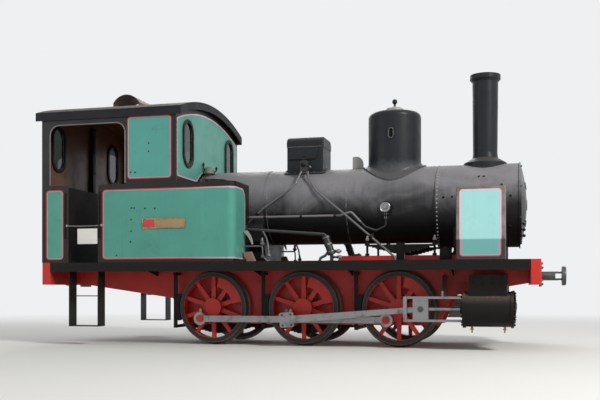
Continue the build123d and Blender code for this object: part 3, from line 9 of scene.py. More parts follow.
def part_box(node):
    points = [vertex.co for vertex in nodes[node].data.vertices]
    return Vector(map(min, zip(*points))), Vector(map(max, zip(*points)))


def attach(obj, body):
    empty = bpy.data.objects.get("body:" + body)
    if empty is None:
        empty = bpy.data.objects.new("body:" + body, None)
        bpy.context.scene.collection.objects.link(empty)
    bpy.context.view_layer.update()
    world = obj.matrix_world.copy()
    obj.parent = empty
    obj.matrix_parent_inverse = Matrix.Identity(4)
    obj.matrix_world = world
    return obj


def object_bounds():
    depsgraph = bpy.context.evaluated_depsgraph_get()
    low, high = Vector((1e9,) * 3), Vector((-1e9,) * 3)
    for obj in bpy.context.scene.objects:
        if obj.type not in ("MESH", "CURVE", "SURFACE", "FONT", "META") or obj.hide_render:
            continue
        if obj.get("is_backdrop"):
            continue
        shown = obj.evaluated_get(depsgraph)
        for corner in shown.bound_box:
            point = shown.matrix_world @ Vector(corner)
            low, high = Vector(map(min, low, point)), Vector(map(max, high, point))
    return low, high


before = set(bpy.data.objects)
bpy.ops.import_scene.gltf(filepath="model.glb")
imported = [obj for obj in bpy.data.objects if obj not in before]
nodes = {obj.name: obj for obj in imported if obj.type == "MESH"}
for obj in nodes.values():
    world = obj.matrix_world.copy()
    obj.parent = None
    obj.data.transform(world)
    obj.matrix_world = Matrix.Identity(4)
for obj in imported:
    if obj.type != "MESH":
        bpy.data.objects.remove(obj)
cad_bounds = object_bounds()

# Sizes of the locomotive that the finishes and the trim are placed by, in metres.
# X runs forward, Y to the left-hand side and Z up, and the right-hand side faces the camera.
SIDES = (-1, 1)
HANDS = ((-1, "right"), (1, "left"))
AHEAD, BACK, OUT, UP = (1, 0, 0), (-1, 0, 0), (0, 1, 0), (0, 0, 1)
BODY_SIDE_Y = 1.100
BOARD_TOP = 0.990
AXLE_Z = 0.450
AXLE_X = {"front": 1.350, "driven": 0.220, "rear": -0.910}
TYRE_INNER_RADIUS = 0.368
TREAD_RADIUS = 0.418
BOILER_Z = 1.685
BARREL_RADIUS = 0.460
SMOKEBOX_Z = 1.655
SMOKEBOX_RADIUS = 0.490
TANK_CORNER_RADIUS = 0.090
TANK_LOW, TANK_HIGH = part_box("side_tank_right")
TANK_TOP = 1.915
TANK_FRONT_X = TANK_HIGH.x
TANK_REAR_X = TANK_LOW.x
DOOR_REAR_X = -2.564
CAB_LOW, CAB_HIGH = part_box("cab_sides")
CAB_REAR_X = CAB_LOW.x
CAB_FRONT_X = CAB_HIGH.x
CAB_RIVETS_TOP = 2.680
ROOF_ARC_RADIUS = 3.236
ROOF_ARC_Z = 3.005 - ROOF_ARC_RADIUS
ROOF_LOW, ROOF_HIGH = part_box("cab_roof")
LOCKER_LOW, LOCKER_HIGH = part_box("side_lockers")
SEAM_XS = (-0.270, 0.712)
DOME_X = 1.224
DOME_RADIUS = 0.318
CRANK_RADIUS = 0.190
CONNECTING_ROD_LENGTH = 1.550
COUPLING_ROD_Y = 0.640
CYLINDER_Y = 0.800
FEED_PIPE_Y = 0.640

# The panels' lining: half its width, its corner radius and how far it stands in from the sheets' edges.
LINE_HALF = 0.0052
LINING_RADIUS = 0.038
LINING_INSET = 0.068
LINING_FOOT_Z = BOARD_TOP + 0.040

# The photograph's view: horizon height and vanishing points give this camera.
CAMERA_PLACE = (2.697, -10.3, 0.685)
CAMERA_TURN = math.radians(14.5)
CAMERA_LENS = 51.0
CAMERA_SHIFT_Y = 88 / 600


def paint(red, green, blue):
    """Linear colour of an sRGB value given as 0 to 255."""
    def linear(part):
        part /= 255
        return part / 12.92 if part <= 0.04045 else ((part + 0.055) / 1.055) ** 2.4
    return (linear(red), linear(green), linear(blue), 1.0)


GREEN = paint(79, 148, 134)
BLUER_GREEN = paint(82, 154, 144)
# Locker greens: the colour below z 1.2, and a paler one above it that is a painted reflection.
SHADED_GREEN = paint(105, 164, 162)
REFLECTION_PALE_GREEN = paint(158, 212, 211)
LINING = paint(196, 62, 76)
# Pale lining: the lining's pale inner edge, and a painted highlight on the lining towards the tank's front
# corner and on the cab front.
PALE_LINE_AND_LIT_LINING = paint(216, 166, 184)
BORDER_BLACK = paint(23, 21, 20)
BOILER_BLACK = paint(22, 22, 24)
# Grey of the boiler's upper half: dust and a painted reflection of the sky.
BOILER_DUST_AND_SHEEN = paint(122, 121, 124)
PIPE_GREY = paint(96, 95, 99)
RED = paint(188, 42, 34)
CAB_BROWN = paint(98, 56, 34)
ROOF_GREY = paint(34, 36, 40)
DUST = paint(150, 140, 125)
GRIME = paint(40, 32, 26)
RUST = paint(122, 62, 34)
BACKDROP_WHITE = (0.86, 0.87, 0.88, 1.0)


class Value:
    """A number that a node tree works out, so that formulas read as plain arithmetic."""

    def __init__(self, owner, socket):
        self.owner = owner
        self.socket = socket

    def math(self, operation, *others):
        return self.owner.math(operation, self, *others)

    def __add__(self, other):
        return self.math("ADD", other)

    def __sub__(self, other):
        return self.math("SUBTRACT", other)

    def __rsub__(self, other):
        return self.owner.math("SUBTRACT", other, self)

    def __mul__(self, other):
        return self.math("MULTIPLY", other)

    def __abs__(self):
        return self.math("ABSOLUTE")

    def over(self, other):
        """The larger of two values."""
        return self.math("MAXIMUM", other)

    def under(self, other):
        """The smaller of two values."""
        return self.math("MINIMUM", other)

    def step(self, low, high, to_low=0.0, to_high=1.0):
        """Smooth change from to_low to to_high as the value goes from low to high."""
        inputs = dict(enumerate((self, low, high, to_low, to_high)))
        return self.owner.number("MapRange", inputs, interpolation_type="SMOOTHSTEP")


def hypot(first, second):
    """Length of the diagonal over two values."""
    return (first * first + second * second).math("SQRT")


class Tree:
    """A node tree, with short calls that make its nodes."""

    def __init__(self, tree):
        self.tree = tree
        tree.nodes.clear()

    def put(self, socket, value):
        """Link a socket, or set it where value is a plain number or colour."""
        if isinstance(value, Value):
            value = value.socket
        if isinstance(value, bpy.types.NodeSocket):
            self.tree.links.new(value, socket)
        else:
            socket.default_value = value

    def node(self, kind, inputs, **settings):
        """New node with its settings, and with values in its named or numbered inputs."""
        made = self.tree.nodes.new("ShaderNode" + kind)
        for name, value in settings.items():
            setattr(made, name, value)
        for key, value in inputs.items():
            self.put(made.inputs[key], value)
        return made

    def number(self, kind, inputs, output=0, **settings):
        return Value(self, self.node(kind, inputs, **settings).outputs[output])

    def math(self, operation, first, second=0.0, third=0.0):
        return self.number("Math", {0: first, 1: second, 2: third}, operation=operation)

    def seen(self):
        """1 for a ray from the camera, through glass or off a glossy surface."""
        rays = self.node("LightPath", {}).outputs
        camera, through, glossy = [Value(self, rays[f"Is {kind} Ray"])
                                   for kind in ("Camera", "Transmission", "Glossy")]
        return camera.over(through).over(glossy)

    def blend(self, factor, first, second):
        """Mix of two shaders."""
        return self.node("MixShader", {0: factor, 1: first, 2: second}).outputs[0]


class Finish(Tree):
    """A material with its shader, the object's coordinates and the textures that the finishes share."""

    def __init__(self, name):
        self.material = bpy.data.materials.new(name)
        self.material.use_nodes = True
        super().__init__(self.material.node_tree)
        self.shader = self.node("BsdfPrincipled", {})
        self.out = self.node("OutputMaterial", {"Surface": self.shader.outputs["BSDF"]})
        self.coordinates = self.node("TexCoord", {}).outputs["Object"]
        self.x, self.y, self.z = self.split(self.coordinates)

    def split(self, vector):
        return [Value(self, part) for part in self.node("SeparateXYZ", {0: vector}).outputs]

    def set(self, **inputs):
        """Set or link the shader's own inputs, named with underscores for spaces."""
        for name, value in inputs.items():
            self.put(self.shader.inputs[name.replace("_", " ")], value)

    def mix(self, factor, first, second, blend="MIX"):
        inputs = {0: factor, 6: first, 7: second}
        return self.node("Mix", inputs, data_type="RGBA", blend_type=blend).outputs[2]

    def noise(self, scale, detail=4.0, roughness=0.55, distortion=0.0, stretch=None):
        """Noise in the object's coordinates, which stretch scales by x, y and z."""
        vector = self.coordinates
        if stretch:
            vector = self.node("Mapping", {"Vector": vector, "Scale": stretch}).outputs[0]
        inputs = {"Vector": vector, "Scale": scale, "Detail": detail, "Roughness": roughness,
                  "Distortion": distortion}
        return self.number("TexNoise", inputs, "Fac")

    def lean(self):
        """Upward part of the surface's normal, from -1 to 1."""
        return self.split(self.node("NewGeometry", {}).outputs["Normal"])[2]

    def bump(self, height, distance, under=None):
        inputs = {"Strength": 1.0, "Distance": distance, "Height": height}
        if under is not None:
            inputs["Normal"] = under
        return self.node("Bump", inputs).outputs[0]


def coat(name, colour, roughness, fade, streaks, dust, grime, rust, waves, specular):
    """Weathered paint. colour is a colour, or a function that makes the colour from the finish."""
    finish = Finish(name)
    shade = colour(finish) if callable(colour) else colour
    cloud = finish.noise(1.7, 5.0, 0.6)
    lighter = finish.mix(1.0, shade, (1.35, 1.33, 1.30, 1.0), "MULTIPLY")
    darker = finish.mix(1.0, shade, (0.72, 0.73, 0.75, 1.0), "MULTIPLY")
    shade = finish.mix(cloud.step(0.50, 0.75, 0.0, fade * 2.2), shade, lighter)
    shade = finish.mix(cloud.step(0.48, 0.28, 0.0, fade * 2.2), shade, darker)
    run = finish.noise(1.0, 6.0, 0.62, 0.3, (26.0, 26.0, 1.1))
    shade = finish.mix(run.step(0.56, 0.74, 0.0, streaks), shade, finish.mix(0.5, darker, GRIME))
    speck = finish.noise(38.0, 6.0, 0.7)
    patch = finish.noise(4.5, 6.0, 0.65, 0.4)
    grime_mask = patch.step(0.52, 0.72) * speck.step(0.40, 0.62) * grime
    shade = finish.mix(grime_mask, shade, GRIME)
    rust_mask = patch.step(0.66, 0.70) * speck.step(0.52, 0.60) * rust
    shade = finish.mix(rust_mask, shade, RUST)
    dust_mask = finish.lean().step(0.25, 0.95) * speck.step(0.25, 0.75, 0.45, 1.0) * dust
    shade = finish.mix(dust_mask, shade, DUST)
    gloss = patch.step(0.30, 0.75, roughness - 0.07, roughness + 0.12) + dust_mask * 0.45 + rust_mask * 0.5
    sheet_waves = finish.bump(finish.noise(2.3, 2.0, 0.45), waves)
    grain = finish.bump(finish.noise(150.0, 3.0, 0.5), 0.0004, sheet_waves)
    chips = finish.bump(rust_mask, -0.0006, grain)
    finish.set(Base_Color=shade, Roughness=gloss, Normal=chips, Specular_IOR_Level=specular)
    return finish.material


def box_distance(u, v, low, high, radius=LINING_RADIUS):
    """Signed distance to a rectangle with rounded corners in the plane of u and v."""
    across, up = [abs(value - (start + end) / 2) - ((end - start) / 2 - radius)
                  for value, start, end in zip((u, v), low, high)]
    return hypot(across.over(0.0), up.over(0.0)) + across.over(up).under(0.0) - radius


def lined(finish, distance, field=GREEN, border=BORDER_BLACK, lining=LINING):
    """Field inside a distance of 0, a lining with a pale inner edge along it and the border outside it."""
    soft = 0.0012
    inner = LINE_HALF + 0.0065
    shade = finish.mix(distance.step(-inner - soft, -inner, 0.0, 0.5), field, PALE_LINE_AND_LIT_LINING)
    shade = finish.mix(distance.step(-LINE_HALF - soft, -LINE_HALF), shade, lining)
    return finish.mix(distance.step(LINE_HALF, LINE_HALF + soft), shade, border)


def tank_colour(finish):
    """Green panel that runs along the tank's side and round its front corner."""
    corner_x = TANK_FRONT_X - TANK_CORNER_RADIUS
    corner_y = BODY_SIDE_Y - TANK_CORNER_RADIUS
    away = abs(finish.y)
    turned = (finish.x - corner_x).over(0.0).math("ARCTAN2", (away - corner_y).over(0.0))
    inward = corner_y - away.under(corner_y)
    along = finish.x.under(corner_x) + turned * TANK_CORNER_RADIUS + inward
    high = (corner_x + TANK_CORNER_RADIUS * math.pi / 2 + 0.31, TANK_TOP - LINING_INSET)
    distance = box_distance(along, finish.z, (TANK_REAR_X + 0.063, LINING_FOOT_Z), high)
    rounder = box_distance(along, finish.z, (TANK_REAR_X - 1.0, LINING_FOOT_Z - 1.0), high, 0.115)
    # Painted highlight: the lining pales towards the tank's front corner.
    line = finish.mix(along.step(-1.1, -0.45), LINING, PALE_LINE_AND_LIT_LINING)
    return lined(finish, distance.over(rounder), lining=line)


def cab_side_colour(finish):
    """The rear panel and the front upper panel of each cab side, brown on the inside."""
    rear = box_distance(finish.x, finish.z, (CAB_REAR_X + 0.063, LINING_FOOT_Z),
                        (DOOR_REAR_X - LINING_INSET, TANK_TOP - 0.057))
    front = box_distance(finish.x, finish.z, (-1.782, TANK_TOP + 0.060), (CAB_FRONT_X - 0.064, 2.700))
    field = finish.mix(finish.x.step(-2.4, -2.3), GREEN, BLUER_GREEN)
    outside = lined(finish, rear.under(front), field)
    return finish.mix(abs(finish.y).step(BODY_SIDE_Y - 0.003, BODY_SIDE_Y - 0.001), CAB_BROWN, outside)


def cab_end_distance(finish, low_z):
    """Signed distance to the lining of a cab end, which follows the roof's arc."""
    away = abs(finish.y)
    crown = hypot(away, finish.z - ROOF_ARC_Z) - (ROOF_ARC_RADIUS - 0.145)
    distance = (away - (BODY_SIDE_Y - 0.034)).math("SMOOTH_MAX", low_z - finish.z, 0.05)
    return distance.math("SMOOTH_MAX", crown, 0.03)


def cab_front_colour(finish):
    """Green panel round the boiler above the tanks, brown on the inside."""
    away = abs(finish.y)
    boiler = 0.530 - hypot(away * 0.92, (finish.z - BOILER_Z) * 1.08)
    distance = cab_end_distance(finish, TANK_TOP + 0.085).math("SMOOTH_MAX", boiler, 0.03)
    over_boiler = away.step(0.36, 0.28) * finish.z.step(2.36, 2.30)
    # Painted highlight: the lining is pale, apart from over the boiler, where it is green.
    outside = lined(finish, distance, lining=finish.mix(over_boiler, PALE_LINE_AND_LIT_LINING, GREEN))
    return finish.mix(finish.x.step(CAB_FRONT_X - 0.004, CAB_FRONT_X - 0.002), CAB_BROWN, outside)


def cab_rear_colour(finish):
    """Two green panels across the cab's back, one above the other, brown on the inside."""
    half_y = BODY_SIDE_Y - 0.063
    lower = box_distance(finish.y, finish.z, (-half_y, LINING_FOOT_Z), (half_y, TANK_TOP - 0.057))
    outside = lined(finish, cab_end_distance(finish, TANK_TOP + 0.060).under(lower))
    return finish.mix(finish.x.step(CAB_REAR_X + 0.002, CAB_REAR_X + 0.004), outside, CAB_BROWN)


def locker_colour(finish):
    """Green panel on each locker's outer side in a brown-black frame; above z 1.2 the field, lining and frame
    are paler, a painted reflection.
    """
    distance = box_distance(finish.x, finish.z, (LOCKER_LOW.x + 0.042, BOARD_TOP + 0.036),
                            (LOCKER_HIGH.x - 0.048, LOCKER_HIGH.z - 0.034), LINING_RADIUS * 0.8)
    # Painted reflection: above z 1.2 the field, the lining and the frame are paler than below.
    reflection_mask = finish.z.step(1.196, 1.216)
    field = finish.mix(reflection_mask, SHADED_GREEN, REFLECTION_PALE_GREEN)
    line = finish.mix(reflection_mask, LINING, paint(228, 188, 202))
    worn = finish.noise(7.0, 5.0, 0.65).step(0.35, 0.70)
    reflected_frame = finish.mix(worn, paint(104, 92, 90), paint(140, 130, 130))
    return lined(finish, distance, field, finish.mix(reflection_mask, paint(48, 44, 46), reflected_frame), line)


def roof_colour(finish):
    """Dark on top, on the fascias and on the end faces, reddish brown underneath."""
    reach = hypot(finish.y, finish.z - ROOF_ARC_Z)
    outside = reach.step(ROOF_ARC_RADIUS - 0.006, ROOF_ARC_RADIUS - 0.003)
    faces = ((abs(finish.y), ROOF_HIGH.y), (finish.x, ROOF_HIGH.x), (finish.x * -1.0, -ROOF_LOW.x))
    for value, edge in faces:
        outside = outside.over(value.step(edge - 0.004, edge - 0.002))
    return finish.mix(outside, CAB_BROWN, ROOF_GREY)


def boiler_colour(finish):
    """Black paint, grey on its upper half with dust and a painted sky reflection, darker towards the front
    and low down with painted shade, and pale at the seams.
    """
    cloud = finish.noise(2.2, 5.0, 0.6, 0.6, (0.8, 1.0, 1.3))
    rain = finish.noise(1.0, 5.0, 0.6, 0.2, (18.0, 3.0, 1.2))
    lean = finish.lean() + cloud.step(0.3, 0.7, -0.22, 0.22) + rain.step(0.35, 0.70, -0.04, 0.05)
    # Painted shade: darker towards the smokebox end and below z 1.62.
    lean = lean - finish.x.step(0.6, 1.9, 0.0, 0.14) - finish.z.step(1.62, 1.25, 0.0, 0.60)
    shade = finish.mix(lean.step(-0.48, 0.66), BOILER_BLACK, BOILER_DUST_AND_SHEEN)
    # Pale lines at the seams: a painted highlight, with some wear.
    rear, front = [abs(finish.x - seam_x).step(0.0050, 0.0070, 1.0, 0.0) for seam_x in SEAM_XS]
    worn = rear.over(front) * finish.noise(14.0, 4.0, 0.6).step(0.35, 0.60, 0.10, 0.6)
    return finish.mix(worn, shade, paint(138, 137, 138))


def dome_colour(finish):
    """Dark paint, greyer with dust towards the flared foot."""
    height = finish.z + finish.noise(7.0, 5.0, 0.6, 0.4).step(0.3, 0.7, -0.03, 0.03)
    return finish.mix(height.step(2.23, 2.09), paint(35, 38, 42), paint(78, 78, 82))


def pipe_colour(finish):
    """Dark pipes, with the feed pipe's upper run paler, a painted highlight, the pipes at the clack valves
    nearly black, a painted shade, and the injector's bare knobs paler.
    """
    upper = finish.z.step(1.45, 1.47) * finish.x.step(1.16, 1.13)
    knobs = finish.x.step(0.622, 0.630) * finish.z.step(1.17, 1.15) * finish.x.step(0.80, 0.75)
    # Painted highlight: the feed pipe's upper run is paler.
    shade = finish.mix(upper, paint(40, 43, 45), paint(116, 114, 116))
    # Painted shade: the pipes at the clack valve are nearly black.
    shade = finish.mix(finish.x.step(1.07, 1.13), shade, paint(17, 17, 19))
    return finish.mix(knobs, shade, paint(146, 134, 130))


def sand_pipe_colour(finish):
    """Grey pipes below a black valve block."""
    return finish.mix(finish.z.step(2.085, 2.100), PIPE_GREY, paint(30, 28, 30))


def wheel_colour(axle_x):
    """Red centre and rim, with a bare tyre that is bright on its tread."""
    def colour(finish):
        reach = hypot(finish.x - axle_x, finish.z - AXLE_Z)
        worn = finish.mix(finish.noise(30.0, 5.0, 0.6), paint(96, 84, 76), paint(60, 52, 48))
        tyre = finish.mix(reach.step(TREAD_RADIUS - 0.006, TREAD_RADIUS - 0.001), BORDER_BLACK, worn)
        return finish.mix(reach.step(TYRE_INNER_RADIUS + 0.002, TYRE_INNER_RADIUS + 0.004), RED, tyre)
    return colour


def steel(name, tint, roughness, oil):
    """Machined steel with a grain along x, oil films and light surface rust."""
    finish = Finish(name)
    brushed = finish.noise(6.0, 4.0, 0.6, stretch=(2.0, 90.0, 90.0))
    patch = finish.noise(7.0, 6.0, 0.62, 0.5)
    shade = finish.mix(brushed.step(0.3, 0.7, 0.0, 0.35), tint, paint(104, 104, 108))
    shade = finish.mix(patch.step(0.50, 0.72, 0.0, oil), shade, paint(58, 48, 38))
    rust_mask = patch.step(0.58, 0.66) * finish.noise(60.0, 5.0, 0.65).step(0.50, 0.62)
    shade = finish.mix(rust_mask * 0.6, shade, RUST)
    gloss = brushed.step(0.25, 0.75, roughness - 0.06, roughness + 0.14) + rust_mask * 0.35
    finish.set(Base_Color=shade, Metallic=rust_mask.step(0.0, 1.0, 0.95, 0.25), Roughness=gloss,
               Normal=finish.bump(brushed, 0.00015))
    return finish.material


def brass(name):
    """Dull brass with brown tarnish."""
    finish = Finish(name)
    tarnish = finish.noise(22.0, 6.0, 0.65, 0.6)
    shade = finish.mix(tarnish.step(0.42, 0.66, 0.0, 0.8), paint(186, 148, 82), paint(84, 62, 38))
    gloss = tarnish.step(0.35, 0.7, 0.25, 0.55)
    finish.set(Base_Color=shade, Roughness=gloss, Metallic=0.95, Normal=finish.bump(tarnish, 0.0003))
    return finish.material


def glass(name):
    """Old tinted pane with a film of dust that is thicker in patches."""
    finish = Finish(name)
    film = finish.noise(9.0, 6.0, 0.65, 0.5).step(0.50, 0.8, 0.0, 0.06)
    finish.set(Base_Color=paint(56, 61, 59), IOR=1.45, Transmission_Weight=1.0, Roughness=film,
               Normal=finish.bump(finish.noise(3.0, 2.0), 0.0008))
    return finish.material


# Weathered paints. The columns are the material's name, its colour, and then
# roughness, fade, streaks, dust, grime, rust, waves and specular, as coat takes them.
COATS = {
    "tank": ("tank_panel", tank_colour, 0.36, 0.16, 0.14, 0.35, 0.22, 0.35, 0.0025, 0.3),
    "cab_side": ("cab_side_panel", cab_side_colour, 0.38, 0.16, 0.14, 0.35, 0.25, 0.30, 0.0025, 0.3),
    "cab_front": ("cab_front_panel", cab_front_colour, 0.38, 0.16, 0.14, 0.35, 0.22, 0.25, 0.0025, 0.3),
    "cab_rear": ("cab_rear_panel", cab_rear_colour, 0.40, 0.16, 0.25, 0.35, 0.30, 0.35, 0.0025, 0.4),
    "locker": ("locker_panel", locker_colour, 0.40, 0.12, 0.12, 0.35, 0.15, 0.20, 0.0025, 0.4),
    "boiler": ("boiler_black", boiler_colour, 0.46, 0.22, 0.25, 0.08, 0.20, 0.22, 0.004, 0.25),
    "tall_black": ("chimney_and_dome_black", paint(37, 40, 43), 0.38, 0.26, 0.35, 0.22, 0.35, 0.22, 0.0025,
                   0.14),
    "dome": ("dome_black", dome_colour, 0.38, 0.26, 0.35, 0.10, 0.35, 0.22, 0.0025, 0.16),
    # dusty: dust grey; on the cab opening beads and the dome eyes' rims it is a painted highlight.
    "dust_and_sheen": ("dust_and_sheen_black", paint(112, 110, 112), 0.50, 0.28, 0.25, 0.25, 0.45, 0.30, 0.0005, 0.3),
    # soot: near-black fill of the dome's eyes, a painted shade in their recesses.
    "painted_shade": ("painted_shade_black", paint(9, 9, 10), 0.60, 0.10, 0.25, 0.0, 0.1, 0.0, 0.0, 0.1),
    "pipe": ("pipe_grey", PIPE_GREY, 0.30, 0.28, 0.20, 0.20, 0.50, 0.30, 0.0003, 0.5),
    "sand_pipe": ("sand_pipe_grey", sand_pipe_colour, 0.28, 0.24, 0.15, 0.10, 0.40, 0.30, 0.0003, 0.6),
    "dark_pipe": ("pipe_dark", pipe_colour, 0.36, 0.26, 0.20, 0.25, 0.45, 0.35, 0.0003, 0.35),
    "black": ("black_paint", BORDER_BLACK, 0.44, 0.20, 0.25, 0.40, 0.40, 0.35, 0.0025, 0.15),
    # worn: pale grey for worn bare metal; on the smokebox rivets it is partly a painted highlight.
    "worn": ("pale_wear_and_highlight_paint", paint(158, 156, 152), 0.46, 0.20, 0.25, 0.10, 0.35, 0.30, 0.0002, 0.4),
    "red": ("red_paint", RED, 0.42, 0.18, 0.25, 0.35, 0.55, 0.40, 0.0025, 0.4),
    "brown": ("cab_brown_paint", CAB_BROWN, 0.55, 0.25, 0.25, 0.30, 0.40, 0.60, 0.0025, 0.4),
    "roof": ("roof_paint", roof_colour, 0.55, 0.25, 0.25, 0.40, 0.35, 0.35, 0.0025, 0.15),
    "white": ("white_paint", paint(222, 220, 214), 0.45, 0.05, 0.12, 0.35, 0.15, 0.10, 0.0008, 0.4),
    "casting": ("primed_casting", paint(150, 118, 106), 0.6, 0.2, 0.25, 0.35, 0.5, 0.5, 0.0004, 0.4),
    "ochre": ("ochre_paint", paint(160, 132, 98), 0.50, 0.08, 0.25, 0.35, 0.20, 0.1, 0.0003, 0.4),
    "plate_red": ("plate_red_paint", paint(192, 62, 70), 0.50, 0.08, 0.25, 0.35, 0.2, 0.1, 0.0003, 0.4),
}
for axle, axle_x in AXLE_X.items():
    COATS[f"wheel_{axle}"] = (f"wheel_paint_{axle}", wheel_colour(axle_x), 0.42, 0.16, 0.25, 0.45, 0.65, 0.45,
                              0.0006, 0.4)
MATERIALS = {key: coat(*columns) for key, columns in COATS.items()}
MATERIALS["steel"] = steel("rod_steel", paint(150, 150, 152), 0.34, 0.55)
MATERIALS["dark_steel"] = steel("dark_steel", paint(92, 90, 90), 0.45, 0.75)
MATERIALS["brass"] = brass("tarnished_brass")
MATERIALS["glass"] = glass("window_glass_clear")

# The CAD nodes of each finish. Those that aren't named are black.
FINISH_NODES = {
    "tank": ("side_tank_right", "side_tank_left"), "cab_side": ("cab_sides",), "cab_front": ("cab_front",),
    "cab_rear": ("cab_rear",), "locker": ("side_lockers",), "roof": ("cab_roof",),
    "brown": ("roof_ventilator",),
    "boiler": ("boiler_barrel", "firebox_casing", "smokebox", "smokebox_door"), "dome": ("steam_dome",),
    "tall_black": ("chimney", "sandbox", "sandbox_lid", "safety_valve"),
    "red": ("main_frame", "buffer_beams"),
    "dark_steel": ("central_buffers",), "glass": ("window_glass",), "sand_pipe": ("sand_pipes",),
    "dark_pipe": ("boiler_pipes",), "dust_and_sheen": ("tank_lid_right", "tank_lid_left"),
    "steel": ("slide_bars", "crosshead_right", "crosshead_left", "connecting_rod_right",
              "connecting_rod_left", "coupling_rod_right", "coupling_rod_left"),
    "wheel_front": ("wheelset_front",), "wheel_driven": ("wheelset_driven",),
    "wheel_rear": ("wheelset_rear",),
}
FINISH_OF = {name: finish for finish, names in FINISH_NODES.items() for name in names}


def shade_smoothly(data, angle):
    """Smooth shading, apart from edges sharper than angle in degrees."""
    data.shade_smooth()
    data.set_sharp_from_angle(angle=math.radians(angle))


def dress_frame():
    """Give every CAD node its finish and shade its curved faces smoothly."""
    for name, node in nodes.items():
        for material_slot in node.material_slots:
            material_slot.material = MATERIALS[FINISH_OF.get(name, "black")]
        shade_smoothly(node.data, 32)


def mirrored(point, side):
    """The point or direction on the given side, from the one on the left."""
    x, y, z = point
    return Vector((x, side * y + 0.0, z))


def arc(start, end, steps):
    """Cosines and sines of evenly spaced angles from start to end, in degrees."""
    angles = [math.radians(start + (end - start) * step / steps) for step in range(steps + 1)]
    return [(math.cos(angle), math.sin(angle)) for angle in angles]


def circle(count, start=0.0):
    """Cosines and sines of evenly spaced angles all the way round."""
    return arc(start, start + 360, count)[:-1]


def ring(centre, radius, across, up, spokes):
    """Places round centre in the plane of the directions across and up, one for each cosine and sine."""
    centre, across, up = Vector(centre), Vector(across), Vector(up)
    return [centre + radius * (cosine * across + sine * up) for cosine, sine in spokes]


def spaced(start, end, pitch):
    """Evenly spaced values from start to end, about one pitch apart."""
    count = max(1, round(abs(end - start) / pitch))
    return [start + (end - start) * step / count for step in range(count + 1)]


def rounded_path(corners, radius, steps=6):
    """Points of a path whose inner corners are rounded by an arc."""
    corners = [Vector(corner) for corner in corners]
    path = [corners[0]]
    for before, corner, after in zip(corners, corners[1:], corners[2:]):
        back = (before - corner).normalized()
        on = (after - corner).normalized()
        reach = min(radius / math.tan(back.angle(on) / 2), 0.49 * (before - corner).length,
                    0.49 * (after - corner).length)
        start, end = corner + back * reach, corner + on * reach
        for step in range(steps + 1):
            part = step / steps
            path.append(start.lerp(corner, part).lerp(corner.lerp(end, part), part))
    path.append(corners[-1])
    return path


def on_barrel(x, y, lift):
    """Place and outward direction at x and y, on a flange that stands lift above the barrel."""
    radius = BARREL_RADIUS + lift
    lean = y / radius
    rise = math.sqrt(1 - lean ** 2)
    return (x, y, BOILER_Z + radius * rise), (0, lean, rise)


def collar(inner, outer, low, high, chamfer):
    """Profile of a nut or collar with chamfered ends."""
    return [(inner, low), (outer, low + chamfer), (outer, high - chamfer), (inner, high)]


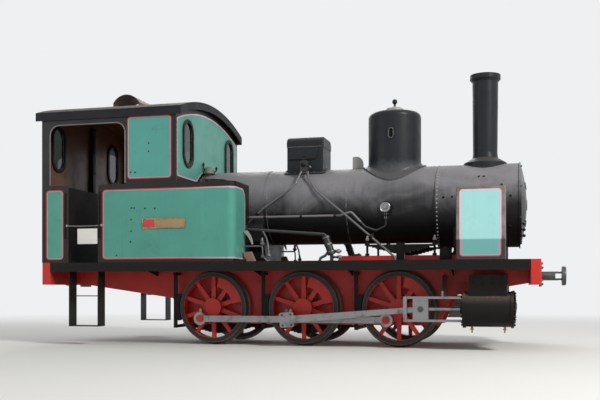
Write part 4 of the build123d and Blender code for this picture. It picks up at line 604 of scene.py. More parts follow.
class Shape:
    """A piece's mesh in the making, given for the left and mirrored to each of its sides."""

    def __init__(self, *sides):
        self.mesh = bmesh.new()
        self.sides = sides or (1,)

    def skin(self, rings, closed=False, capped=True):
        """Faces from ring to ring of places, where a ring of one place is a point."""
        rings = [[self.mesh.verts.new(place) for place in places] for places in rings]
        for lower, upper in zip(rings, rings[1:] + rings[:1] if closed else rings[1:]):
            count = max(len(lower), len(upper))
            for step in range(count):
                after = (step + 1) % count
                corners = (lower[step % len(lower)], lower[after % len(lower)],
                           upper[after % len(upper)], upper[step % len(upper)])
                self.mesh.faces.new(list(dict.fromkeys(corners)))
        for verts in (rings[0], rings[-1]):
            if capped and not closed and len(verts) > 1:
                self.mesh.faces.new(verts)

    def turned(self, place, direction, profile, sides=24, turn=0.0):
        """Lathe a profile of (radius, height) pairs about direction, closed at its ends."""
        spokes = circle(sides, turn)
        for side in self.sides:
            tilt = mirrored(direction, side).to_track_quat("Z", "Y").to_matrix().to_4x4()
            matrix = Matrix.Translation(mirrored(place, side)) @ tilt
            self.skin([[matrix @ Vector((radius * x, radius * y, height))
                        for x, y in (spokes if radius else spokes[:1])] for radius, height in profile])

    def rivet(self, place, direction, radius=0.009):
        """Round rivet head, sunk a little into the plate."""
        head = [(radius, -0.001), (radius, radius * 0.15), (radius * 0.80, radius * 0.50),
                (radius * 0.45, radius * 0.72), (0.0, radius * 0.80)]
        self.turned(place, direction, head, 10)

    def bolt(self, place, direction, radius=0.012, stud=True):
        """Hexagon nut on a washer, with the stud's end showing."""
        self.turned(place, direction, [(radius * 1.35, -0.001), (radius * 1.35, radius * 0.22)], 16)
        head = [(radius * 0.98, radius * 0.20), (radius, radius * 0.30), (radius, radius * 0.95),
                (radius * 0.86, radius * 1.12)]
        self.turned(place, direction, head, 6, math.degrees(Vector(place).length * 7.0))
        if stud:
            self.turned(place, direction, [(radius * 0.50, radius * 1.0), (radius * 0.50, radius * 1.5),
                                           (radius * 0.36, radius * 1.62)], 10)

    def rows(self, add, xs, ys, zs, *details):
        """Rivets or bolts at every mix of the given x, y and z."""
        for place in product(xs, ys, zs):
            add(place, *details)

    def tube(self, points, radius, sides=12, closed=False):
        """Round tube along points, with its section carried along without twist."""
        for side in self.sides:
            path = [mirrored(point, side) for point in points]
            behind = path[-1:] + path[:-1] if closed else path[:1] + path[:-1]
            ahead = path[1:] + path[:1] if closed else path[1:] + path[-1:]
            tangents = [(there - here).normalized() for here, there in zip(behind, ahead)]
            start = Vector(UP if abs(tangents[0].z) < 0.9 else AHEAD)
            across = tangents[0].cross(start).normalized()
            rings = []
            for point, tangent in zip(path, tangents):
                across = (across - tangent * across.dot(tangent)).normalized()
                rings.append(ring(point, radius, across, tangent.cross(across), circle(sides)))
            self.skin(rings, closed)

    def block(self, centre, size, bevel=0.004):
        """Box with bevelled edges."""
        for side in self.sides:
            verts = bmesh.ops.create_cube(self.mesh, size=1.0)["verts"]
            bmesh.ops.scale(self.mesh, vec=size, verts=verts)
            bmesh.ops.translate(self.mesh, vec=mirrored(centre, side), verts=verts)
            edges = list(dict.fromkeys(edge for vert in verts for edge in vert.link_edges))
            bmesh.ops.bevel(self.mesh, geom=edges, offset=bevel, segments=2, affect="EDGES", profile=0.6)

    def plate(self, outline, middle_y, thickness, bevel):
        """Upright plate along x with an outline of (x, z) corners and bevelled edges."""
        for side in self.sides:
            self.skin([[mirrored((x, middle_y + half, z), side) for x, z in outline]
                       for half in (-thickness / 2, thickness / 2)])
        bmesh.ops.bevel(self.mesh, geom=self.mesh.edges[:], offset=bevel, segments=2, affect="EDGES")

    def piece(self, name, material, body="engine"):
        """Turn the mesh into a named object that rides on a body."""
        bmesh.ops.recalc_face_normals(self.mesh, faces=self.mesh.faces)
        data = bpy.data.meshes.new(name)
        self.mesh.to_mesh(data)
        self.mesh.free()
        data.materials.append(MATERIALS[material])
        shade_smoothly(data, 35)
        made = bpy.data.objects.new(name, data)
        bpy.context.scene.collection.objects.link(made)
        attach(made, body)


def smokebox_trim():
    """Pale rivets round the smokebox's rear end, worn bare and with a painted highlight, and a few patch
    bolts on its sides.
    """
    shape = Shape()
    centre = Vector((1.774, 0, SMOKEBOX_Z))
    for place in ring(centre, SMOKEBOX_RADIUS, OUT, UP, circle(62)):
        shape.rivet(place, place - centre, 0.0100)
    shape.piece("smokebox_rivets", "worn")
    shape = Shape(*SIDES)
    for x, z in ((1.850, 1.722), (1.949, 1.725), (2.244, 1.961), (2.300, 1.959), (2.499, 1.853),
                 (2.597, 1.721), (2.590, 1.386)):
        rise = z - SMOKEBOX_Z
        reach = math.sqrt(SMOKEBOX_RADIUS ** 2 - rise ** 2)
        shape.bolt((x, reach, z), (0, reach, rise), 0.010, False)
    shape.piece("smokebox_side_bolts", "black")


def saddle_trim():
    """Bolts along the smokebox saddle's foot and rivets along its head."""
    low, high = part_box("smokebox_saddle")
    shape = Shape(*SIDES)
    xs = spaced(low.x + 0.05, high.x - 0.05, 0.095)
    shape.rows(shape.bolt, xs, [high.y], [1.110], OUT, 0.013)
    shape.rows(shape.rivet, xs, [high.y], [1.300], OUT, 0.010)
    shape.piece("saddle_bolts", "black")


def dome_trim():
    """Low rivet heads on the dome's foot, the safety valve's casing and a rimmed eye on each side."""
    shape = Shape()
    for place in ring((DOME_X, 0, 0), 0.3755, AHEAD, OUT, circle(44)):
        shape.rivet(*on_barrel(place.x, place.y, 0.016), 0.0050)
    shape.piece("dome_foot_rivets", "dust_and_sheen")
    shape = Shape()
    shape.turned((DOME_X, 0, 2.790), UP,
                 [(0.104, 0.0), (0.108, 0.014), (0.109, 0.056), (0.103, 0.072), (0.082, 0.083),
                  (0.044, 0.088), (0.026, 0.089), (0.024, 0.100), (0.0165, 0.102)], 40)
    shape.piece("safety_valve_casing", "worn")
    eye_z, straight = 2.518, 0.031

    def slot_outline(half, stand):
        """Places round an upright slot with round ends, standing off the dome's side."""
        places = ring((DOME_X, DOME_RADIUS + stand, eye_z), half, AHEAD, UP, circle(32, 5.625))
        return [place + Vector((0, 0, math.copysign(straight, place.z - eye_z))) for place in places]

    for side, hand in HANDS:
        # The eye's black fill is painted shade in the recess, and its pale rim a painted highlight.
        shape = Shape(side)
        shape.skin([[mirrored(place, side) for place in slot_outline(0.022, 0.0025)],
                    [mirrored((DOME_X, DOME_RADIUS + 0.0028, eye_z), side)]], capped=False)
        shape.piece(f"dome_eye_{hand}", "painted_shade")
        shape = Shape(side)
        shape.tube(slot_outline(0.0275, 0.0085), 0.0035, 8, closed=True)
        shape.piece(f"dome_eye_rim_highlight_{hand}", "dust_and_sheen")


def sandbox_trim():
    """Nuts round the sandbox's foot, a lip on its lid and the fittings of its two valves."""
    low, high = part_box("sandbox")
    lid_low, lid_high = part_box("sandbox_lid")
    inset = 0.016
    places = list(product(spaced(low.x + 0.03, high.x - 0.03, 0.11), (inset - 0.258, 0.258 - inset)))
    places += product((low.x + inset, high.x - inset), spaced(-0.17, 0.17, 0.11))
    shape = Shape()
    for x, y in places:
        shape.bolt(*on_barrel(x, y, 0.012), 0.009, False)
    shape.piece("sandbox_foot_nuts", "boiler")
    shape = Shape()
    lip_xs = (lid_low.x + 0.012, lid_high.x - 0.012)
    shape.tube([(x, lid_low.y, lid_low.z + 0.008) for x in lip_xs], 0.0035, 10)
    shape.piece("sandbox_lid_lip", "dust_and_sheen", "sandbox_lid")
    valve_x = 0.182
    for side, hand in HANDS:
        shape = Shape(side)
        shape.turned((valve_x - 0.010, 0.3483, 2.214), UP,
                     [(0.034, 0.0), (0.034, 0.008), (0.026, 0.012), (0.026, 0.030), (0.012, 0.036),
                      (0.010, 0.052), (0.014, 0.056), (0.014, 0.066), (0.0, 0.070)], 6)
        shape.turned((valve_x - 0.012, 0.381, 2.168), OUT,
                     [(0.030, 0.0), (0.030, 0.008), (0.020, 0.012), (0.018, 0.024), (0.0, 0.027)], 20)
        shape.tube([(valve_x, 0.396, 2.166), (valve_x + 0.076, 0.398, 2.140)], 0.007, 8)
        shape.piece(f"sand_valve_cap_{hand}", "black")
        shape = Shape(side)
        shape.turned((valve_x + 0.080, 0.398, 2.138), OUT,
                     [(0.010, -0.008), (0.015, 0.000), (0.015, 0.010), (0.009, 0.015), (0.0, 0.016)], 16)
        for dx in (-0.031, 0.031):
            shape.turned((valve_x + dx, 0.350, 2.074), UP, collar(0.019, 0.022, 0.0, 0.024, 0.004), 6)
        shape.piece(f"sand_valve_unions_{hand}", "pipe")


def cab_rivets():
    """Rivets down the cab's corners, round its rear panels and along the tank's rear and lower edges."""
    shape = Shape(*SIDES)
    side_zs = spaced(BOARD_TOP + 0.04, TANK_TOP - 0.03, 0.055)
    side_xs = (DOOR_REAR_X - 0.026, CAB_REAR_X + 0.026, TANK_REAR_X + 0.026)
    foot_xs = spaced(TANK_REAR_X + 0.05, TANK_FRONT_X - 0.13, 0.075)
    upper = TANK_TOP + 0.04
    for xs, y, zs, direction in (
            ([CAB_FRONT_X - 0.024], BODY_SIDE_Y, spaced(upper, CAB_RIVETS_TOP, 0.055), OUT),
            (side_xs, BODY_SIDE_Y, side_zs, OUT),
            ([CAB_REAR_X], BODY_SIDE_Y - 0.034, spaced(BOARD_TOP + 0.04, CAB_RIVETS_TOP, 0.060), BACK),
            ([CAB_FRONT_X], BODY_SIDE_Y - 0.022, spaced(upper, CAB_RIVETS_TOP, 0.060), AHEAD),
            (foot_xs, BODY_SIDE_Y, [BOARD_TOP + 0.020], OUT)):
        shape.rows(shape.rivet, xs, [y], zs, direction, 0.006)
    shape.piece("cab_and_tank_rivets", "black")


def opening_beads():
    """Half-round bead round the open side of the cab."""
    # The bead's pale grey is a painted highlight on its edge.
    shape = Shape(*SIDES)
    rear_x, front_x, top_z, corner = -2.807, -1.817, 2.645, 0.120
    y, foot_z = BODY_SIDE_Y - 0.002, TANK_TOP + 0.012
    path = [(rear_x, y, foot_z)]
    for centre_x, start, end in ((rear_x + corner, 180, 90), (front_x - corner, 90, 0)):
        path += ring((centre_x, y, top_z - corner), corner, AHEAD, UP, arc(start, end, 8))
    shape.tube(path + [(front_x, y, foot_z)], 0.008, 10)
    shape.piece("cab_opening_beads", "dust_and_sheen")


def handrails():
    """A grab rail outside each edge of the doorway, on two feet."""
    shape = Shape(*SIDES)
    rail_y, root_y, foot_z, head_z = BODY_SIDE_Y + 0.0105, BODY_SIDE_Y - 0.004, 1.290, 1.810
    for x in (DOOR_REAR_X - 0.036, TANK_REAR_X + 0.018):
        rail = [(x, root_y, foot_z), (x, rail_y, foot_z + 0.006), (x, rail_y, head_z - 0.006),
                (x, root_y, head_z)]
        shape.tube(rounded_path(rail, 0.008), 0.0075)
        for z in (foot_z, head_z):
            shape.turned((x, BODY_SIDE_Y, z), OUT,
                         [(0.020, -0.001), (0.020, 0.003), (0.012, 0.006), (0.0, 0.007)], 16)
    shape.piece("door_grab_rails", "black")


def name_plates():
    """Blank plate on each tank: a red end and an ochre field in a raised rim."""
    left, right, foot, head = -1.5865, -1.0625, 1.386, 1.491
    middle_x, middle_z, wide, high = (left + right) / 2, (foot + head) / 2, right - left, head - foot
    face_y = BODY_SIDE_Y + 0.0005
    for side, hand in HANDS:
        divide = left + 0.150 if side < 0 else right - 0.150
        finishes = ("plate_red", "ochre") if side < 0 else ("ochre", "plate_red")
        for start, end, finish in zip((left, divide), (divide, right), finishes):
            shape = Shape(side)
            shape.block(((start + end) / 2, face_y + 0.003, middle_z), (end - start, 0.006, high), 0.001)
            shape.piece(f"name_plate_{hand}_{finish}", finish)
        shape = Shape(side)
        for x, z, length, height in ((middle_x, foot, wide, 0.008), (middle_x, head, wide, 0.008),
                                     (left, middle_z, 0.008, high + 0.008),
                                     (right, middle_z, 0.008, high + 0.008), (divide, middle_z, 0.006, high)):
            shape.block((x, face_y + 0.0045, z), (length, 0.009, height), 0.002)
        shape.rows(shape.rivet, (left + 0.018, right - 0.018), [face_y + 0.006], (foot + 0.018, head - 0.018),
                   OUT, 0.005)
        shape.piece(f"name_plate_{hand}_rim", "brass")


def doorway_chain():
    """Slack chain across each doorway, with a blank white board hung on the right-hand one."""
    start_x, end_x, height = DOOR_REAR_X - 0.014, TANK_REAR_X + 0.045, 1.432
    sag, links = 0.007, 36
    places = []
    for index in range(links + 1):
        part = index / links
        places.append(Vector((start_x + (end_x - start_x) * part, BODY_SIDE_Y + 0.006,
                              height - sag * 4 * part * (1 - part))))
    for side, hand in HANDS:
        shape = Shape(side)
        for index, (here, there) in enumerate(zip(places, places[1:])):
            turn = Vector((0, side, 0) if index % 2 else UP)
            shape.tube(ring((here + there) / 2, 1.0, (there - here) * 0.78, turn * 0.0050, circle(12)),
                       0.0017, 6, closed=True)
        for x in (start_x, end_x):
            shape.turned((x, BODY_SIDE_Y, height), OUT,
                         [(0.014, -0.001), (0.014, 0.004), (0.009, 0.006), (0.009, 0.013), (0.0, 0.015)], 12)
        shape.piece(f"doorway_chain_{hand}", "worn")
    shape = Shape(-1)
    shape.block((-2.305, BODY_SIDE_Y + 0.004, 1.303), (0.262, 0.004, 0.184), 0.0012)
    shape.piece("doorway_board_blank", "white")
    shape = Shape(-1)
    for x in (-2.405, -2.205):
        shape.tube(ring((x, BODY_SIDE_Y + 0.005, 1.408), 1.0, (0, 0, 0.020), (0, 0.006, 0), circle(14)),
                   0.0015, 6, closed=True)
    shape.piece("doorway_board_rings", "dark_steel")


def lifting_lug():
    """Quarter-round lug welded upright on top of the barrel, behind the dome."""
    rear_x, bend_x, front_x, head_z, bend_z, thickness = 0.705, 0.762, 0.838, 2.298, 2.200, 0.018
    foot_z = BOILER_Z + BARREL_RADIUS - 0.004
    outline = [(rear_x, foot_z), (rear_x, head_z - 0.006), (rear_x + 0.006, head_z), (bend_x, head_z)]
    outline += [(bend_x + (front_x - bend_x) * sine, head_z - (head_z - bend_z) * (1 - cosine))
                for cosine, sine in arc(0, 90, 8)[1:]]
    shape = Shape()
    shape.plate(outline + [(front_x, foot_z)], 0.0, thickness, 0.0015)
    shape.piece("barrel_lifting_lug", "worn")
    shape = Shape(*SIDES)
    shape.tube([(x, thickness / 2, foot_z + 0.005) for x in (rear_x, front_x)], 0.008, 8)
    shape.piece("barrel_lug_weld", "boiler")


def steam_turret():
    """Low domed valve on the firebox casing in front of the cab, with two spindles and two branch pipes."""
    x, y, foot_z = -1.112, -0.180, 2.108
    shape = Shape()
    shape.turned((x, y, foot_z), UP, [(0.074, -0.010), (0.074, 0.020), (0.073, 0.042), (0.067, 0.068),
                                      (0.052, 0.092), (0.029, 0.107), (0.0, 0.112)], 28)
    shape.piece("steam_turret", "dust_and_sheen")
    shape = Shape()
    shape.turned((x, y, foot_z), UP, [(0.086, 0.000), (0.086, 0.016), (0.074, 0.020)], 28)
    for place in ring((x, y, foot_z + 0.016), 0.080, AHEAD, OUT, circle(8)):
        shape.bolt(place, UP, 0.004, False)
    for route, head in ((((x, y, 2.172), (-1.148, -0.262, 2.172), (-1.150, -0.266, 2.250)), 0.012),
                        (((x, y, 2.150), (-1.014, -0.180, 2.150), (-1.010, -0.180, 2.206)), 0.010)):
        shape.tube(rounded_path(route, 0.02), 0.008, 10)
        shape.turned(route[-1], UP, [(0.0125, -0.030), (0.0145, -0.024), (0.0145, -0.006), (0.006, 0.0),
                                     (0.006, head), (0.0, head + 0.002)], 12)
    shape.sides = SIDES
    shape.tube(ring((-1.130, 0, BOILER_Z), 0.480, UP, OUT, arc(24, 64, 5)), 0.011, 10)
    shape.piece("steam_turret_fittings", "black")


def clack_trim():
    """Flange nuts, bright rim, cap nut and unions on each clack valve of the barrel."""
    x, z = 1.194, 1.616
    for side, hand in HANDS:
        shape = Shape(side)
        for place in ring((x, 0.476, z), 0.068, AHEAD, UP, circle(6, 15.0)):
            shape.bolt(place, OUT, 0.0085)
        shape.piece(f"clack_valve_nuts_{hand}", "black")
        shape = Shape(side)
        shape.turned((x, 0.576, z), OUT,
                     [(0.060, -0.002), (0.060, 0.004), (0.054, 0.008), (0.046, 0.003), (0.032, 0.003)], 32)
        shape.turned((x, 0.577, z), OUT, [(0.027, 0.0), (0.027, 0.014), (0.022, 0.020), (0.0, 0.022)], 6)
        for union_z in (1.487, 1.532):
            shape.turned((x, 0.514, union_z), UP, collar(0.026, 0.028, 0.0, 0.026, 0.003), 6)
        shape.piece(f"clack_valve_cap_{hand}", "steel")


def pipe_trim():
    """Union nuts and clips on the pipes along the boiler, and the small fittings in front of each tank."""
    sand_front = (Vector((0.703, 0.566, 1.558)), Vector((1.318, 0.616, 1.035)))
    sand_rear = (Vector((-0.311, 0.484, 1.637)), Vector((-0.985, 0.490, 1.035)))
    clip = sand_front[0].lerp(sand_front[1], 0.535)
    for side, hand in HANDS:
        shape = Shape(side)
        for place, (start, end) in ((clip, sand_front), (sand_rear[0].lerp(sand_rear[1], 0.10), sand_rear)):
            shape.turned(place, end - start, collar(0.0135, 0.020, -0.022, 0.022, 0.002), 16)
        shape.block((clip.x + 0.018, clip.y - 0.010, clip.z + 0.002), (0.034, 0.020, 0.070))
        shape.bolt((clip.x + 0.018, clip.y, clip.z + 0.024), OUT, 0.008)
        for x in (-0.270, 0.180, 0.590):
            shape.turned((x, 0.514, 1.537), AHEAD, collar(0.0145, 0.020, -0.014, 0.014, 0.002), 6)
        for place in ring((-0.443, FEED_PIPE_Y, 1.381), 0.040, OUT, UP, circle(6)):
            shape.bolt(place, AHEAD, 0.006)
        shape.piece(f"pipe_unions_{hand}", "black")
        tank_fittings(side, hand)
        injector_trim(side, hand)


def tank_fittings(side, hand):
    """Worn strap, drain valve, branch pipe and foot casting in front of one tank."""
    branch_y, valve_y = 0.730, 0.750
    shape = Shape(side)
    shape.tube(rounded_path([(-0.262, 0.646, 1.368), (-0.196, 0.690, 1.272), (-0.168, 0.718, 1.180),
                             (-0.160, branch_y, 1.074), (-0.158, branch_y, 0.989)], 0.16, 8), 0.0105, 14)
    shape.turned((-0.159, branch_y, 1.050), UP,
                 [(0.012, 0.0), (0.026, 0.004), (0.026, 0.020), (0.015, 0.040), (0.011, 0.070)], 18)
    shape.turned((-0.232, valve_y, 1.180), UP,
                 [(0.010, 0.0), (0.016, 0.006), (0.028, 0.020), (0.028, 0.034), (0.014, 0.044),
                  (0.019, 0.062), (0.014, 0.078), (0.008, 0.096), (0.0, 0.100)], 18)
    route = [(TANK_FRONT_X, valve_y, 1.176), (-0.236, valve_y, 1.176), (-0.228, valve_y, 1.150),
             (-0.226, valve_y, 1.052), (-0.166, 0.735, 0.998)]
    shape.tube(rounded_path(route, 0.03), 0.0095)
    shape.turned((-0.226, valve_y, 1.038), UP,
                 [(0.014, 0), (0.022, 0.005), (0.022, 0.024), (0.013, 0.030)], 6)
    shape.piece(f"tank_valve_{hand}", "pipe")
    # The strap's sections from its head down: rear x, z and width.
    sections = ((-0.4597, 1.352, 0.040), (-0.440, 1.330, 0.040), (-0.412, 1.300, 0.034),
                (-0.386, 1.262, 0.027), (-0.366, 1.222, 0.018), (-0.356, 1.196, 0.010))
    shape = Shape(side)
    shape.skin([[mirrored((x + dx, valve_y + half, z + dz), side)
                 for dx, dz, half in ((0.0, 0.0, -0.014), (wide, wide * 0.35, -0.014),
                                      (wide, wide * 0.35, 0.014), (0.0, 0.0, 0.014))]
                for x, z, wide in sections])
    shape.piece(f"tank_front_strap_{hand}", "worn")
    shape = Shape(side)
    shape.plate([(-0.458, 1.105), (-0.356, 1.112), (-0.300, 0.990), (-0.400, 0.990), (-0.438, 1.060)],
                0.770, 0.060, 0.004)
    shape.piece(f"tank_foot_casting_{hand}", "casting")


def injector_trim(side, hand):
    """Collars, cap nuts and a drain pipe on one injector."""
    shape = Shape(side)
    y = FEED_PIPE_Y
    top, foot = Vector((0.505, y, 1.290)), Vector((0.580, y, 1.075))
    for part, sides in ((0.10, 24), (0.46, 6), (0.86, 24)):
        shape.turned(top.lerp(foot, part), foot - top, collar(0.043, 0.052, -0.014, 0.014, 0.004), sides)
    for x, z, radius in ((0.660, 1.112, 0.028), (0.678, 1.044, 0.026)):
        shape.turned((x - 0.040, y, z), AHEAD, collar(0.014, 0.021, 0.0, 0.020, 0.003), 6)
        shape.turned((x + radius * 0.8, y, z), AHEAD, [(0.012, 0.0), (0.012, 0.012), (0.0, 0.016)], 12)
    drain = [(0.560, y, 1.130), (0.500, y, 1.060), (0.446, y, 1.035), (0.430, y, 0.989)]
    shape.tube(rounded_path(drain, 0.03), 0.016)
    shape.turned((0.430, y, 0.990), UP, [(0.034, 0), (0.034, 0.010), (0.018, 0.016)], 18)
    shape.piece(f"injector_fittings_{hand}", "dark_steel")


def cylinder_trim():
    """Cover nuts, front cover boss, chest studs and drain cocks on each cylinder."""
    rear_x, front_x, cock_z = 2.092, 2.635, AXLE_Z - 0.217
    for side, hand in HANDS:
        shape = Shape(side)
        for x, direction in ((front_x, AHEAD), (rear_x, BACK)):
            for place in ring((x, CYLINDER_Y, AXLE_Z), 0.172, OUT, UP, circle(14)):
                shape.bolt(place, direction, 0.0125)
        shape.turned((2.6505, CYLINDER_Y, AXLE_Z), AHEAD,
                     [(0.060, 0), (0.060, 0.004), (0.030, 0.012), (0.0, 0.014)], 28)
        shape.rows(shape.bolt, (2.210, 2.310, 2.410, 2.510), [0.930], (0.740, 0.790), OUT, 0.011)
        shape.piece(f"cylinder_nuts_{hand}", "black")
        shape = Shape(side)
        for x in (2.190, 2.540):
            shape.turned((x, CYLINDER_Y, AXLE_Z - 0.190), (0, 0, -1),
                         [(0.012, -0.004), (0.012, 0.018), (0.018, 0.020), (0.018, 0.034), (0.008, 0.038),
                          (0.008, 0.062), (0.010, 0.064)], 14)
            shape.tube([(x, CYLINDER_Y - 0.012, cock_z), (x, CYLINDER_Y + 0.040, cock_z)], 0.004, 8)
        shape.piece(f"cylinder_drain_cocks_{hand}", "brass")


def rod_trim():
    """Oil cups, keys and pin nuts on the rods and crossheads, riding with each."""
    for (side, hand), angle in zip(HANDS, (-135, -45)):
        pin_x = CRANK_RADIUS * math.cos(math.radians(angle))
        pin_z = CRANK_RADIUS * math.sin(math.radians(angle))
        shape = Shape(side)
        for axle_x in AXLE_X.values():
            shape.turned((axle_x + pin_x, COUPLING_ROD_Y, AXLE_Z + pin_z + 0.076), UP,
                         [(0.020, 0), (0.022, 0.020), (0.022, 0.034), (0.012, 0.038), (0.012, 0.046),
                          (0.0, 0.050)], 16)
        shape.piece(f"coupling_rod_oil_cups_{hand}", "brass", f"coupling_rod_{hand}")
        big_end = Vector((AXLE_X["driven"] + pin_x, CYLINDER_Y, AXLE_Z + pin_z))
        reach = math.sqrt(CONNECTING_ROD_LENGTH ** 2 - pin_z ** 2)
        gudgeon = Vector((AXLE_X["driven"] + pin_x + reach, CYLINDER_Y, AXLE_Z))
        along = (big_end - gudgeon).normalized()
        up = along.cross(Vector(OUT)) if along.x > 0 else Vector(OUT).cross(along)
        shape = Shape(side)
        shape.turned(big_end + up * 0.084, up, [(0.022, 0), (0.024, 0.022), (0.024, 0.036), (0.012, 0.041),
                                                (0.012, 0.050), (0.0, 0.054)], 16)
        for slide, lift in product((-0.052, 0.052), (-0.06, 0.06)):
            shape.bolt(big_end + along * slide + up * lift + Vector((0, 0.025, 0)), OUT, 0.011)
        shape.piece(f"connecting_rod_trim_{hand}", "dark_steel", f"connecting_rod_{hand}")
        shape = Shape(side)
        shape.turned(gudgeon + Vector((0, 0.045, 0)), OUT,
                     [(0.034, -0.001), (0.034, 0.008), (0.020, 0.009), (0.020, 0.016)])
        shape.turned(gudgeon + Vector((0, 0.060, 0)), OUT, [(0.016, 0), (0.016, 0.012)], 6)
        shape.piece(f"crosshead_pin_nut_{hand}", "dark_steel", f"crosshead_{hand}")


def running_board_trim():
    """Lubricator boxes behind the lockers, nuts on the front springs' hangers and panel bolts."""
    x, y = 1.889, 0.615
    for side, hand in HANDS:
        shape = Shape(side)
        shape.block((x, y, 1.056), (0.130, 0.110, 0.132), 0.006)
        shape.block((x, y, 1.128), (0.140, 0.120, 0.014))
        shape.turned((x, y, 1.134), UP, [(0.016, 0), (0.018, 0.010), (0.012, 0.018), (0.0, 0.020)], 16)
        for dx in (-0.040, 0.040):
            shape.turned((x + dx, 0.560, 1.090), (0, -1, 0),
                         [(0.010, -0.001), (0.010, 0.020), (0.014, 0.022), (0.014, 0.034), (0.0, 0.036)], 12)
        shape.piece(f"lubricator_{hand}", "black")
        shape = Shape(side)
        for end in SIDES:
            shape.turned((AXLE_X["front"] + end * 0.394, 0.400, 1.244), UP,
                         [(0.024, -0.001), (0.024, 0.006), (0.020, 0.008), (0.020, 0.026), (0.012, 0.030),
                          (0.012, 0.050), (0.0, 0.058)], 6)
        shape.piece(f"spring_hanger_nuts_{hand}", "worn")
    shape = Shape(*SIDES)
    for x, z in ((-1.732, 1.629), (-1.698, 1.628), (-1.561, 1.619), (-1.437, 1.616), (-1.739, 1.490),
                 (-1.739, 1.356), (-1.744, 1.230), (-1.928, 1.073), (-1.515, 2.384), (-1.515, 2.290),
                 (-1.744, 2.051), (-1.686, 2.049)):
        shape.rivet((x, BODY_SIDE_Y, z), OUT, 0.0095)
    shape.piece("panel_bolts", "black")


def frame_trim():
    """Rivets along the valances and frames, and bolts on the beams."""
    shape = Shape(*SIDES)
    shape.rows(shape.rivet, spaced(-2.75, 2.75, 0.12), [BODY_SIDE_Y], [BOARD_TOP - 0.030], OUT, 0.006)
    shape.piece("valance_rivets", "black")
    for name, material, x, ys, zs, radius in (
            ("beam_bolts", "red", 2.915, (0.34, 0.68, 1.02), (0.765, 0.945), 0.013),
            ("buffer_flange_bolts", "dark_steel", 2.9403, [0.095], (0.730, 0.920), 0.014)):
        shape = Shape(*SIDES)
        for end in SIDES:
            shape.rows(shape.bolt, [end * x], ys, zs, (end, 0, 0), radius)
        shape.piece(name, material)
    shape = Shape(*SIDES)
    guide_xs = [axle_x + dx for axle_x in AXLE_X.values() for dx in (-0.135, 0.135)]
    for xs, zs in ((guide_xs, spaced(0.32, 0.58, 0.065)),
                   ((-2.250, -1.450, -0.150, 0.785, 1.860), spaced(0.68, 0.93, 0.083))):
        shape.rows(shape.rivet, xs, [0.4125], zs, OUT, 0.010)
    shape.piece("frame_rivets", "red")


def window_trim():
    """Screws round the rims of the cab's slot windows, and the post between the rear ones inside."""
    shape = Shape(*SIDES)
    straight, radius, y, z = 0.125, 0.145, 0.740, 2.420
    for x, facing in ((CAB_FRONT_X + 0.0183, AHEAD), (CAB_REAR_X - 0.0183, BACK)):
        for rise, spokes in ((straight, arc(0, 180, 4)), (-straight, arc(180, 360, 4)), (0.0, circle(2))):
            for place in ring((x, y, z + rise), radius, OUT, UP, spokes):
                shape.rivet(place, facing, 0.006)
    shape.piece("window_rim_screws", "black")
    shape = Shape()
    shape.block((CAB_REAR_X + 0.030, 0.120, 2.375), (0.044, 0.085, 0.930), 0.006)
    shape.rows(shape.bolt, [CAB_REAR_X + 0.052], [0.120], (1.960, 2.230, 2.510, 2.790), AHEAD, 0.010)
    shape.piece("cab_rear_post", "black")


def door_ring_nuts():
    """Nuts round the smokebox door's ring, apart from the hinge's side."""
    shape = Shape()
    for place in ring((2.704, 0, SMOKEBOX_Z), 0.472, OUT, UP, circle(8, 22.5)):
        if place.y < 0.25 or abs(place.z - SMOKEBOX_Z) > 0.32:
            shape.bolt(place, AHEAD, 0.013)
    shape.piece("smokebox_ring_nuts", "boiler")


def cab_fittings():
    """Fire door and water gauges on the boiler's back in the cab."""
    back_x, door_z, gauge_x = -1.3265, 1.290, -1.355
    shape = Shape()
    shape.turned((back_x + 0.004, 0, door_z), BACK,
                 [(0.132, 0), (0.132, 0.012), (0.118, 0.018), (0.0, 0.020)], 32)
    for y in (-0.100, -0.060):
        shape.block((back_x - 0.018, y, door_z), (0.012, 0.014, 0.17), 0.002)
    shape.piece("fire_door", "black")
    shape = Shape()
    for y in (-0.26, 0.24):
        for z in (1.62, 1.90):
            shape.turned((-1.300, y, z), BACK, [(0.028, 0), (0.028, 0.012), (0.012, 0.016), (0.012, 0.060),
                                                (0.020, 0.064), (0.020, 0.080), (0.0, 0.084)], 16)
        shape.tube([(gauge_x, y, 1.60), (gauge_x, y, 1.93)], 0.008)
    shape.piece("water_gauges", "brass")


def build_trim():
    """All the pieces that the scene adds to the frame."""
    for make in (smokebox_trim, saddle_trim, dome_trim, sandbox_trim, cab_rivets, opening_beads, handrails,
                 name_plates, doorway_chain, lifting_lug, steam_turret, clack_trim, pipe_trim, cylinder_trim,
                 rod_trim, running_board_trim, frame_trim, window_trim, door_ring_nuts, cab_fittings):
        make()


def floor_material():
    """Matte stage finish with a faint mottling, seen as the background's own white far away."""
    finish = Finish("stage_floor_pale")
    pale = paint(226, 225, 221)
    darker = tuple(part * 0.97 for part in pale[:3]) + (1.0,)
    finish.set(Base_Color=finish.mix(finish.noise(0.6, 3.0, 0.5), pale, darker), Roughness=0.9)
    far = hypot(finish.x, finish.y).step(5.0, 14.0) * finish.seen()
    glow = finish.node("Emission", {"Color": BACKDROP_WHITE}).outputs[0]
    finish.put(finish.out.inputs["Surface"], finish.blend(far, finish.shader.outputs["BSDF"], glow))
    return finish.material


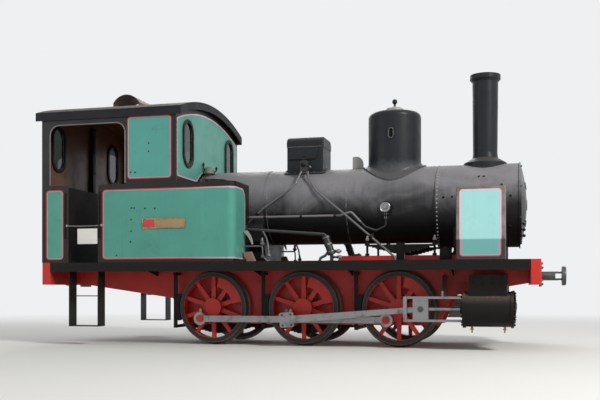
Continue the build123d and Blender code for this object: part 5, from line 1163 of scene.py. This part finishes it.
def build_stage():
    """Pale floor under the wheels."""
    mesh = bmesh.new()
    bmesh.ops.create_grid(mesh, x_segments=1, y_segments=1, size=60.0)
    data = bpy.data.meshes.new("stage_floor")
    mesh.to_mesh(data)
    mesh.free()
    data.materials.append(floor_material())
    floor = bpy.data.objects.new("stage_floor", data)
    floor.location.z = -0.0005
    bpy.context.scene.collection.objects.link(floor)
    floor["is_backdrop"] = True


def add_area(name, place, size, power, tint=(1.0, 1.0, 1.0)):
    """Square area light aimed at the engine's middle."""
    lamp = bpy.data.lights.new(name, "AREA")
    lamp.shape = "SQUARE"
    lamp.size = size
    lamp.energy = power
    lamp.color = tint
    made = bpy.data.objects.new(name, lamp)
    made.location = place
    aim = Vector((0.0, 0.0, 1.4)) - Vector(place)
    made.rotation_euler = aim.to_track_quat("-Z", "Y").to_euler()
    bpy.context.scene.collection.objects.link(made)


def build_light():
    """Soft studio light: a key from the upper right front, a weak fill, a back light and a pale world."""
    add_area("key_light", (10.2, -7.4, 9.0), 2.6, 1540.0, (1.0, 0.98, 0.95))
    add_area("fill_light", (-9.0, -8.0, 5.0), 6.0, 150.0, (0.95, 0.98, 1.0))
    add_area("back_light", (-3.0, 9.0, 8.0), 6.0, 420.0)
    world = bpy.data.worlds.new("studio")
    bpy.context.scene.world = world
    world.use_nodes = True
    sky = Tree(world.node_tree)
    lit, seen = [sky.node("Background", {"Color": colour, "Strength": strength}).outputs[0]
                 for colour, strength in (((0.96, 0.98, 1.0, 1.0), 0.43), (BACKDROP_WHITE, 1.0))]
    sky.node("OutputWorld", {"Surface": sky.blend(sky.seen(), lit, seen)})


def build_camera():
    """The photograph's own view."""
    data = bpy.data.cameras.new("photo_camera")
    data.lens = CAMERA_LENS
    data.sensor_width = 36.0
    data.shift_y = CAMERA_SHIFT_Y
    camera = bpy.data.objects.new("photo_camera", data)
    camera.location = CAMERA_PLACE
    camera.rotation_euler = (math.pi / 2, 0, CAMERA_TURN)
    bpy.context.scene.collection.objects.link(camera)
    bpy.context.scene.camera = camera


dress_frame()
build_trim()
build_stage()
build_light()
build_camera()
bpy.context.scene.view_settings.view_transform = "Standard"


def corners(bounds):
    """A box as two plain lists of numbers."""
    return [[float(value) for value in corner] for corner in bounds]


{"cad": corners(cad_bounds), "visual": corners(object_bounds())}
